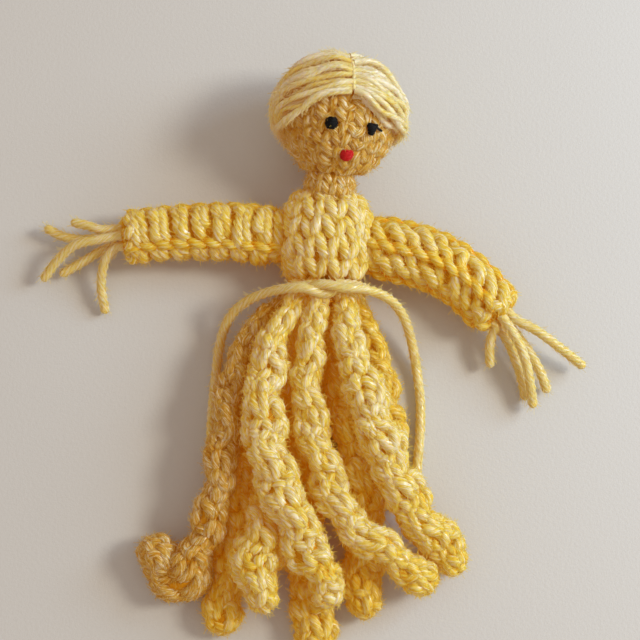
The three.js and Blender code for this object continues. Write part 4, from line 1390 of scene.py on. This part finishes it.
@dataclass
class Head:
    """The crocheted ball of the head with its filling, face, neck and hair.

    A dot of the face is sewn in rows. A stitch of it is given as shares of its length and of the dot's dome.
    """

    half: Point = (11.1, 11.7, 11.0)
    pivot: Point = (1.4, 21.4, 10.298)
    rise: float = 12.9
    lean: float = 8.0
    nod: float = 13.0
    turn: float = 12.0
    neck_radius: float = 5.2
    eye_radius: float = 1.25
    eye_spacing: float = 8.1
    face_shift: float = 0.75
    eye_drop: float = 1.1
    mouth_radius: float = 1.3
    mouth_drop: float = 6.6
    lie: Hair = Hair()
    gauge: Gauge = Gauge(Stitch.VEE, 4.0, 2.6, 1.2, uneven=0.1, upward=-1.0, spare=2.0, turn=0.9)
    filling_depth: float = 1.7
    neck_gauge: Gauge = Gauge(Stitch.VEE, 3.2, 2.6, 1.2, turn=0.2)
    neck_lining_depth: float = 1.5

    LOWEST = -0.92
    HIGHEST = 0.97
    NECK_CUT = 0.8
    DOT_ROWS = 7
    DOT_SPAN = 0.86
    DOT_DOME = 0.5
    DOT_BASE = 0.25
    DOT_STITCH = ((-1.0, -0.25), (-0.7, 0.6), (0.0, 1.0), (0.7, 0.6), (1.0, -0.25))
    ROUND_DOT = 1.02
    POINTED_DOT = 0.7
    POINTED_SLOPE = 0.4
    LASH_SHARES = (0.5, 1.0, 1.4, 1.8)
    LASH_RISE = 0.75
    LASH_SLOPE = 0.4
    LASH_HEIGHT = 0.35

    def neck_place(self) -> Matrix:
        """Return where the neck's frame lies in the dolly's."""
        lean = Matrix.Rotation(math.radians(-self.lean), 4, "Z")
        nod = Matrix.Rotation(math.radians(self.nod), 4, "X")
        return Matrix.Translation(self.pivot) @ lean @ nod

    def place(self) -> Matrix:
        """Return where the head's frame lies in the dolly's."""
        turn = Matrix.Rotation(math.radians(self.turn), 4, "Y")
        return self.neck_place() @ Matrix.Translation((0, self.rise, 0)) @ turn

    def build(self, kit: Wardrobe) -> None:
        """Work the ball and the neck, fill the ball, sew the face and lay the hair."""
        place = self.place()
        wide, tall, deep = self.half
        route = Route([(0, tall * self.LOWEST, 0), (0, 0, 0), (0, tall * self.HIGHEST, 0)])

        def section(t: Array) -> tuple[Array, Array]:
            """Return the ball's half width and half depth."""
            level = self.LOWEST + (self.HIGHEST - self.LOWEST) * t
            size = np.sqrt(1 - level**2)
            return wide * size, deep * size

        tube = Tube(route, section)
        knots = worked_rounds(tube, self.gauge, kit.crochet, Seed.HEAD)
        # The deep finish is painted shade: the straw yarn painted darker, as the face's shade.
        ball = kit.spinner.spin("head_crochet", [smooth_path(carried(knots, place))], kit.crochet, kit.deep)
        settle(ball, "head", "straw_yarn", "head_shell")
        filling = Lining().make("head_filling", tube, self.filling_depth, kit.shade, place)
        settle(filling, "head", "stuffing", "head_stuffing")
        self.neck(kit)
        self.face(kit)
        self.hair(kit)

    def neck(self, kit: Wardrobe) -> None:
        """Work the neck as a gathered band."""
        place = self.neck_place()
        reach = self.neck_radius * self.NECK_CUT
        route = Route([(0, -reach, 0), (0, 0, 0), (0, reach, 0)])

        def section(t: Array) -> tuple[Array, Array]:
            """Return the neck's half width and half depth."""
            radius = np.sqrt(1 - (self.NECK_CUT * (2 * t - 1)) ** 2) * self.neck_radius
            return radius, radius

        tube = Tube(route, section)
        knots = worked_rounds(tube, self.neck_gauge, kit.fine, Seed.NECK)
        # The deep finish is painted shade: the straw yarn painted darker.
        band = kit.spinner.spin("neck_crochet", [smooth_path(carried(knots, place))], kit.fine, kit.deep)
        settle(band, "neck", "straw_yarn", "neck")
        inside = Lining().make("neck_lining", tube, self.neck_lining_depth, kit.shade, place)
        settle(inside, "neck", "straw_yarn")

    def on_head(self, directions: Array, height: Union[float, Array]) -> Array:
        """Return points at a height over the ball, in the dolly's frame.

        Args:
            directions: Directions from the ball's middle.
            height: How far over the ball's skin the points are.

        Returns:
            One row for each direction.
        """
        size = np.array(self.half) + np.asarray(height, float)[..., None]
        return carried(unit(directions) * size, self.place())

    def sewn_dot(self, x: float, y: float, half_width: Callable[[Array], Array], radius: float) -> Array:
        """Lay thread to and fro over a small dot on the face.

        Args:
            x: The dot's place across the face.
            y: Its place up the face.
            half_width: The half length of the stitch at each share of the dot's height.
            radius: The dot's half height.

        Returns:
            The thread's knots in the dolly's frame.
        """
        wide, tall, deep = self.half
        centre = np.array([x, y, deep * math.sqrt(1 - (x / wide) ** 2 - (y / tall) ** 2)])
        normal = unit(centre / np.array(self.half) ** 2)
        right = unit(np.cross([0.0, 1.0, 0.0], normal))
        up = np.cross(normal, right)
        knots = []
        for i, level in enumerate(np.linspace(-self.DOT_SPAN, self.DOT_SPAN, self.DOT_ROWS)):
            chord = float(half_width(np.array(level))) * radius
            dome = self.DOT_DOME * radius * math.sqrt(1 - level**2)
            side = 1 if i % 2 else -1
            for share, lift in self.DOT_STITCH:
                across = right * side * share * chord
                over = normal * (self.DOT_BASE + dome * lift)
                knots.append(centre + across + up * level * radius + over)
        return carried(np.array(knots), self.place())

    def face(self, kit: Wardrobe) -> None:
        """Sew the eyes, the thread tail beside the left one and the mouth."""
        def round_dot(level: Array) -> Array:
            """Return the half width of a round dot."""
            return np.sqrt(self.ROUND_DOT - level**2)

        def pointed_dot(level: Array) -> Array:
            """Return the half width of a dot that is wider above."""
            return self.POINTED_DOT + self.POINTED_SLOPE * level

        right, left = (self.face_shift + side * self.eye_spacing / 2 for side in (-1, 1))
        y = -self.eye_drop
        for name, at, shape in (("eye_right", right, round_dot), ("eye_left", left, pointed_dot)):
            knots = self.sewn_dot(at, y, shape, self.eye_radius - kit.thread.radius / 2)
            eye = kit.spinner.spin(name + "_thread", [smooth_path(knots)], kit.thread, kit.black)
            settle(eye, "head", "black_thread", name)
        wide, tall, _ = self.half
        share = np.array(self.LASH_SHARES)
        a = (left + self.eye_radius * share) / wide
        b = (y + self.LASH_RISE - self.LASH_SLOPE * share) / tall
        tail = self.on_head(np.stack([a, b, np.sqrt(1 - a**2 - b**2)], axis=1), self.LASH_HEIGHT)
        lash = kit.spinner.spin(
            "eye_left_lash_thread", [smooth_path(tail)], kit.thread, kit.black, free_end=True
        )
        settle(lash, "head", "black_thread", "eye_left_lash")
        radius = self.mouth_radius - kit.thread.radius / 2
        knots = self.sewn_dot(self.face_shift, -self.mouth_drop, round_dot, radius)
        mouth = kit.spinner.spin("mouth_thread", [smooth_path(knots)], kit.thread, kit.red)
        settle(mouth, "head", "red_thread", "mouth")

    def hair(self, kit: Wardrobe) -> None:
        """Lay the hair from the parting over the sides to the nape, and the thread along the parting."""
        lie = self.lie
        for side, name in ((-1, "hair_right"), (1, "hair_left")):
            rng = np.random.default_rng(Seed.HAIR + side)
            paths = [
                self.hair_strand((k + lie.crowding * rng.uniform(-1, 1)) / (count - 1), lift, side, rng)
                for count, lift in zip(lie.counts, lie.lifts)
                for k in range(count)
            ]
            # The hair's finish is painted light: the straw yarn painted lighter, with stronger painted
            # highlights.
            yarn = kit.spinner.spin(name + "_yarn", paths, kit.hair, kit.lit_hair_finish)
            settle(yarn, "head", "straw_yarn", name)
        angle = np.radians(np.linspace(lie.hairline, lie.seam_end, lie.seam_points))
        seam = np.stack([0 * angle, np.sin(angle), np.cos(angle)], axis=1)
        ripple = lie.seam_ripple * np.sin(np.arange(lie.seam_points) * lie.seam_wave)
        path = self.on_head(seam, lie.seam_height + ripple)
        thread = kit.spinner.spin("parting_thread_yarn", [path], lie.seam_yarn, kit.lit_hair_finish)
        settle(thread, "head", "straw_yarn", "parting_thread")

    def hair_strand(self, share: float, lift: float, side: int, rng: np.random.Generator) -> Array:
        """Lay one strand from the parting round the side of the head to the nape.

        Args:
            share: Its place along the parting, from the hairline at 0 to the back at 1.
            lift: Its height over the ball.
            side: -1 for the right half and 1 for the left.
            rng: The source of its unevenness.

        Returns:
            The strand's points in the dolly's frame.
        """
        lie = self.lie
        angle = math.radians(lie.hairline + lie.sweep * share)
        start = np.array([lie.parting_gap, math.sin(angle), math.cos(angle)])
        bend = self._between(*np.array(lie.bends), share)
        first, middle, last = np.array(lie.ends)
        right_fall, left_fall = lie.falls
        first[1] -= right_fall if side < 0 else left_fall
        end = self._between(first, middle, last, share)
        t = np.linspace(0, 1, lie.points)
        line = ((1 - t) ** 2)[:, None] * start + (2 * t * (1 - t))[:, None] * bend + (t**2)[:, None] * end
        line = unit(line)
        sideways = unit(np.cross(line, np.gradient(line, axis=0)))
        drift = lie.drift * np.sin(t * rng.uniform(*lie.drift_waves) + rng.uniform(*lie.phases))
        drift = drift * np.sin(math.pi * t)
        line = (line + drift[:, None] * sideways) * [side, 1, 1]
        crimp = lie.crimp * np.sin(t * rng.uniform(*lie.crimp_waves) + rng.uniform(*lie.phases))
        at_root, at_end = 1 - ease(t, 0, lie.root_span), ease(t, lie.end_span)
        sink = lie.root_sink * lift * at_root + lie.end_sink * lift * at_end
        full = lie.fullness * np.sin(math.pi * t) ** 2
        height = lift + lie.stray * rng.standard_normal() + crimp + full - sink
        swell = 1 + lie.swell * rng.standard_normal()
        swell = swell + lie.swell_wave * np.sin(t * rng.uniform(*lie.swell_waves) + rng.uniform(*lie.phases))
        return np.hstack([self.on_head(line, height), swell[:, None]])

    @staticmethod
    def _between(first: Array, middle: Array, last: Array, share: float) -> Array:
        """Return the point at a share of the smooth line through three points."""
        ends = first * (2 * share - 1) * (share - 1) + last * share * (2 * share - 1)
        return ends + middle * 4 * share * (1 - share)


@dataclass
class Arm:
    """A crocheted sleeve with a core of yarns whose ends are the fingers."""

    side: str
    shoulder: Point
    length: float
    bends: tuple[Point, ...]
    fingers: tuple[tuple[float, tuple[Point, ...]], ...]
    posts: Stitch
    post_width: float
    bands: int
    ridge_turn: float
    uneven: float
    ridge_sunk: float
    half_width: float = 5.7
    half_thickness: float = 4.5
    wrist_half_width: float = 5.1
    wrist_half_thickness: float = 4.2
    core_showing: float = 0.6
    finger_ring: float = 1.98
    row_start: float = 3.2
    row_end: float = 0.6
    row_gap: float = 1.0
    cap_gauge: Gauge = Gauge(Stitch.VEE, 3.8, 2.8, 1.1, first=1.6)
    cap_end: float = 4.6
    lining_depth: float = 1.2
    cuff_gauge: Gauge = Gauge(
        Stitch.LOOP, 3.4, 2.1, 1.0, relief=1.2, uneven=0.14, first=0.2, spare=0.2, turn=0.4
    )
    cuff_levels: tuple[float, float, float] = (-1.6, -0.6, 0.5)
    cuff_room: float = 1.6
    cuff_closing: float = 0.25
    finger_gap: float = 0.3
    finger_root: float = 3.0
    finger_hidden: float = 2.6
    core_share: float = 0.85
    core_span: tuple[float, float] = (9.0, -0.4)
    core_points: int = 20

    def tube(self) -> Tube:
        """Return the sleeve's skin, from the round shoulder to the wrist."""
        route = Route([np.array(self.shoulder) + self.length * np.array(bend) for bend in self.bends])

        def section(t: Array) -> tuple[Array, Array]:
            """Return the sleeve's half width and half thickness."""
            s = ease(t)
            return (
                self.half_width + (self.wrist_half_width - self.half_width) * s,
                self.half_thickness + (self.wrist_half_thickness - self.half_thickness) * s,
            )

        return Tube(route, section, round_start=True)

    def build(self, kit: Wardrobe) -> None:
        """Work the sleeve in rows along the arm, and lay the core and the fingers."""
        tube = self.tube()
        body = f"{self.side}_arm"
        start, end = self.row_start, tube.length - self.row_end
        tall = FULL_TURN * float(tube.radius(end)) / self.bands - self.row_gap
        posts = Gauge(self.posts, self.post_width, tall, relief=0.7, uneven=self.uneven, sunk=1.0)
        ridges, rows = [], []
        for band in range(self.bands):
            ridge = self.ridge_turn + band * FULL_TURN / self.bands
            ridges += Rope().along(tube, kit.fine, ridge, start, end, self.ridge_sunk)
            middle = ridge + math.pi / self.bands
            row = worked_row(tube, posts, kit.bulky, middle, start, end, Seed.SLEEVE + band)
            rows.append(smooth_path(row))
        ridges.append(smooth_path(self.cuff(kit.fine)))
        cap = worked_rounds(tube, self.cap_gauge, kit.fine, Seed.CAP, self.cap_end)
        ridges.append(smooth_path(cap))
        edges = kit.spinner.spin(f"{self.side}_sleeve_ridges", ridges, kit.fine, kit.straw)
        settle(edges, body, "straw_yarn")
        sleeve = kit.spinner.spin(f"{self.side}_sleeve_crochet", rows, kit.bulky, kit.straw)
        settle(sleeve, body, "straw_yarn", f"{self.side}_sleeve")
        inside = Lining().make(f"{self.side}_sleeve_lining", tube, self.lining_depth, kit.shade)
        settle(inside, body, "straw_yarn")
        self.hand(kit, tube, body)

    def cuff(self, yarn: Yarn) -> Array:
        """Return the knots of the lumpy rounds that close the wrist about the fingers."""
        skin = self.tube()
        points = skin.route.at(skin.route.length + np.array(self.cuff_levels))[0]
        inner = self.finger_ring + self.cuff_room

        def section(t: Array) -> tuple[Array, Array]:
            """Return the cuff's half width and half thickness, which close in on the fingers."""
            shut = ease(t, self.cuff_closing)
            return (
                self.wrist_half_width + (inner - self.wrist_half_width) * shut,
                self.wrist_half_thickness + (inner - self.wrist_half_thickness) * shut,
            )

        tube = Tube(Route(points), section)
        return worked_rounds(tube, self.cuff_gauge, yarn, Seed.CUFF)

    def hand(self, kit: Wardrobe, tube: Tube, body: str) -> None:
        """Lay the core's five yarns out of the wrist and on as the fingers.

        Args:
            kit: The yarns and finishes.
            tube: The sleeve's skin.
            body: The body that the hand rides on.
        """
        route = tube.route
        end, along, _, _ = (x[0] for x in route.at(np.array([route.length])))
        wrist = end + along * (self.core_showing + self.finger_gap)
        across = unit(np.cross(UP, along))
        above = np.cross(along, across)
        core = []
        for number, (seat, bends) in enumerate(self.fingers, 1):
            turn = math.radians(seat)
            ring = across * self.finger_ring * math.cos(turn) + above * self.finger_ring * math.sin(turn)
            root = wrist + ring - along * self.finger_root
            knots = [root, wrist + ring, wrist + ring + along]
            knots += [wrist + np.array(bend) for bend in bends]
            path = Route(knots).points
            out = np.linalg.norm(path - root, axis=1) > self.finger_hidden
            name = f"{self.side}_finger_{number}"
            # The pale finish is painted light: the straw yarn painted lighter where the fingers lie in full
            # light.
            finger = kit.spinner.spin(name + "_yarn", [path[out]], kit.cord, kit.pale, free_end=True)
            settle(finger, body, "straw_yarn", name)
            depths = np.linspace(*self.core_span, self.core_points)
            core.append(np.stack([wrist + ring * self.core_share - along * x for x in depths]))
        piece = kit.spinner.spin(f"{self.side}_arm_core_yarn", core, kit.fine, kit.straw)
        settle(piece, body, "straw_yarn", f"{self.side}_arm_core")


class Shade(Enum):
    """The finish that a skirt strand is worked in."""

    STRAW = "straw"
    # Painted shade: the straw yarn painted darker, for the strand whose end lies in the others' shade.
    SHADED_DEEP = "deep"
    # Painted shade: the straw yarn painted darker and more orange, for the back strands under the others.
    SHADED_AMBER = "shaded_amber"


@dataclass
class SkirtStrand:
    """One crocheted strand of the skirt: its seat on the yoke, its bends, its fullness and its swollen end.

    A bend is a lane across the skirt, a share of the skirt's length and a layer up from the table.
    """

    name: str
    seat: tuple[float, float]
    bends: tuple[Point, ...]
    fullness: float
    knob: float = 1.0
    tip: float = 1.0
    shade: Shade = Shade.STRAW
    sway: float = 0.5
    sway_wave: float = 10.5
    top_radius: float = 2.2
    flatness: float = 0.13
    flat_wave: float = 12.0
    seat_level: float = -2.6
    gauge: Gauge = Gauge(
        Stitch.VEE, 4.4, 3.1, 1.2, relief=0.65, uneven=0.1, sunk=0.95, first=1.2, spare=0.6
    )
    lining_depth: float = 1.0

    SLENDER_TOP = (0.0, 0.38)
    KNOB_SPAN = (0.72, 0.9)
    TIP_SPAN = (0.86, 1.0)
    ROUND_TOP = (0.0, 0.3)
    PHASE_STEP = 1.7

    def tube(self, phase: float) -> Tube:
        """Return the strand's skin, from the yoke to its round end.

        Args:
            phase: Where its corkscrew starts.

        Returns:
            The skin.
        """
        across, up = self.seat
        lowest = STRAND_RADIUS - STRAND_FLATTENED
        knots = [(across * YOKE_HALF_WIDTH, self.seat_level, WAIST_HEIGHT + up * YOKE_HALF_DEPTH)]
        for lane, drop, layer in self.bends:
            knots.append((lane * LANE, -drop * SKIRT_LENGTH, lowest + layer * LANE))
        full = self.fullness * STRAND_RADIUS

        def section(t: Array) -> tuple[Array, Array]:
            """Return half the width and half the thickness of a section that is flat and turns slowly."""
            swollen = full * (1 + (self.knob - 1) * ease(t, *self.KNOB_SPAN))
            swollen = swollen * (1 + (self.tip - 1) * ease(t, *self.TIP_SPAN))
            radius = self.top_radius + (swollen - self.top_radius) * ease(t, *self.SLENDER_TOP)
            turn = FULL_TURN * t * SKIRT_LENGTH / self.flat_wave + phase
            flat = self.flatness * np.sin(turn) * ease(t, *self.ROUND_TOP)
            return radius * (1 + flat), radius * (1 - flat)

        route = Route(knots, sway=Sway(self.sway, self.sway_wave, phase))
        return Tube(route, section, round_start=True, round_end=True)

    def build(self, kit: Wardrobe, seed: int) -> None:
        """Work the strand in rounds.

        Args:
            kit: The yarns and finishes.
            seed: The seed of its unevenness.
        """
        tube = self.tube(seed * self.PHASE_STEP)
        knots = worked_rounds(tube, self.gauge, kit.strand, seed)
        finish = getattr(kit, self.shade.value)
        strand = kit.spinner.spin(self.name + "_crochet", [smooth_path(knots)], kit.strand, finish)
        settle(strand, self.name, "straw_yarn", self.name)
        inside = Lining().make(self.name + "_lining", tube, self.lining_depth, kit.shade)
        settle(inside, self.name, "straw_yarn")


RIGHT_ARM = Arm(
    "right", RIGHT_SHOULDER, 28.4,
    (
        (0, 0, 0), (-0.211, 0.022, 0.004), (-0.563, 0.026, -0.007), (-0.901, 0.003, -0.021),
        (-1, -0.006, -0.028),
    ),
    (
        (162, ((-4.4, 1.6, 0.77), (-7.2, 2.5, 0.6), (-10.6, 3.4, 0))),
        (234, ((-5.2, 0.4, -1.63), (-9.2, 0.3, -2.32), (-12.8, 1.1, -2.75), (-16.4, 3, -2.92))),
        (90, ((-5.2, -0.8, 1.63), (-9.2, -1.6, 0.86), (-12.6, -3.8, -0.69), (-16.6, -8.2, -3.27))),
        (306, ((-4.0, -2.0, -1.98), (-7.0, -3.5, -2.75), (-10.2, -5.2, -3.61), (-13.2, -6.8, -4.13))),
        (18, ((-2.9, -3.6, 0), (-4.0, -6.2, -1.2), (-4.4, -9.8, -2.92), (-3.6, -14.8, -4.64))),
    ),
    posts=Stitch.POST, post_width=4.4, bands=3, ridge_turn=math.radians(128), uneven=0.07, ridge_sunk=0.75,
)
LEFT_ARM = Arm(
    "left", LEFT_SHOULDER, 22.3,
    (
        (0, 0, 0), (0.386, -0.103, 0.004), (0.695, -0.278, -0.009), (0.919, -0.502, -0.027),
        (1, -0.601, -0.035),
    ),
    (
        (18, ((3.6, -0.8, 0.6), (7.4, -2.8, 0.34), (12.6, -6.4, -1.03), (17.2, -9.8, -2.41))),
        (306, ((3.4, -3.0, -1.89), (5.8, -6.2, -2.41), (8.2, -10.4, -3.1), (9.8, -14.8, -3.78))),
        (90, ((2.4, -3.4, 1.55), (4.4, -7.2, 0.69), (5.8, -12.4, -1.03), (6.7, -18.0, -2.92))),
        (234, ((1.6, -4.4, -1.89), (3.4, -8.4, -2.92), (4.8, -12.8, -3.96), (5.3, -16.2, -4.64))),
        (162, ((-1.4, -3.0, -0.34), (-2.0, -5.8, -1.38), (-1.8, -9.8, -2.92))),
    ),
    posts=Stitch.SLANT, post_width=3.5, bands=4, ridge_turn=math.radians(84), uneven=0.08, ridge_sunk=0.35,
)
STRANDS = (
    SkirtStrand("skirt_front_1", (-1.1, -0.04), (
        (-1.52, 0.08, 0.75), (-2.04, 0.153, 0.79), (-2.36, 0.25, 0.8), (-2.59, 0.363, 0.8),
        (-2.75, 0.527, 0.81), (-2.98, 0.7, 0.74), (-3.34, 0.823, 0.5), (-3.8, 0.925, 0.24),
        (-4.36, 0.92, 0.15), (-4.64, 0.862, 0.12)),
        0.86, knob=1.55, tip=0.92, shade=Shade.SHADED_DEEP),
    SkirtStrand("skirt_front_2", (-0.72, 0.64), (
        (-1.32, 0.16, 1.3), (-1.62, 0.31, 1.32), (-1.68, 0.427, 1.36), (-1.46, 0.577, 1.4),
        (-0.92, 0.727, 1.4), (-0.44, 0.847, 1.16), (-0.02, 0.937, 1.0), (0.16, 0.983, 0.94)), 1.14, tip=0.82),
    SkirtStrand("skirt_front_3", (-0.17, 0.8), (
        (-0.32, 0.16, 1.3), (-0.46, 0.327, 1.22), (-0.32, 0.46, 1.12), (0.08, 0.61, 1.06), (0.64, 0.76, 1.12),
        (1.5, 0.843, 1.06), (2.32, 0.91, 0.7), (2.68, 0.95, 0.5)), 0.9),
    SkirtStrand("skirt_front_4", (0.6, 0.68), (
        (0.7, 0.177, 1.3), (1.08, 0.327, 1.3), (1.44, 0.46, 1.24), (1.92, 0.61, 1.1), (2.48, 0.727, 0.84),
        (3.1, 0.817, 0.5), (3.56, 0.87, 0.3)), 1.1),
    SkirtStrand("skirt_middle_1", (-0.36, -0.02), (
        (-0.94, 0.15, 0.54), (-1.16, 0.3, 0.4), (-1.4, 0.467, 0.3), (-1.56, 0.633, 0.5), (-1.72, 0.783, 0.84),
        (-1.78, 0.923, 0.9), (-1.74, 1, 0.88)), 0.74, knob=1.95, tip=0.72),
    SkirtStrand("skirt_back_1", (-0.72, -0.64), (
        (-1.6, 0.2, 0.1), (-2.0, 0.36, 0.0), (-2.16, 0.527, -0.03), (-2.3, 0.683, -0.05),
        (-2.42, 0.833, -0.05), (-2.62, 0.95, -0.05), (-2.76, 1.06, -0.05)), 1.0, shade=Shade.SHADED_AMBER),
    SkirtStrand("skirt_back_2", (-0.14, -0.76), (
        (-0.28, 0.167, 0.02), (-0.38, 0.333, 0.0), (-0.54, 0.583, -0.03), (-0.52, 0.833, -0.03),
        (-0.36, 1.017, -0.03), (-0.26, 1.123, -0.03)), 1.08, shade=Shade.SHADED_AMBER),
    SkirtStrand("skirt_back_3", (0.39, -0.72), (
        (0.46, 0.167, 0.08), (0.64, 0.35, 0.28), (0.98, 0.53, 0.42), (1.08, 0.66, 0.22), (1.08, 0.77, 0.04),
        (1.1, 0.9, -0.02), (1.1, 1.017, -0.03)), 1.08, shade=Shade.SHADED_AMBER),
    SkirtStrand("skirt_back_4", (0.89, -0.18), (
        (1.32, 0.16, 0.26), (1.66, 0.36, 0.04), (1.84, 0.467, -0.05), (1.92, 0.577, -0.05),
        (1.94, 0.643, -0.05)), 1.0, shade=Shade.SHADED_AMBER),
)


def main() -> None:
    """Build the dolly in order."""
    logging.basicConfig(level=logging.INFO, format="%(name)s: %(message)s")
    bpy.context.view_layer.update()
    studio = Studio()
    studio.camera()
    kit = Wardrobe()
    tie = WaistTie()
    tie.tails(kit)
    tie.build(kit)
    Torso().build(kit)
    Head().build(kit)
    RIGHT_ARM.build(kit)
    LEFT_ARM.build(kit)
    for number, strand in enumerate(STRANDS):
        strand.build(kit, Seed.STRAND + number)
    studio.table()
    studio.light()


if __name__ == "__main__":
    main()
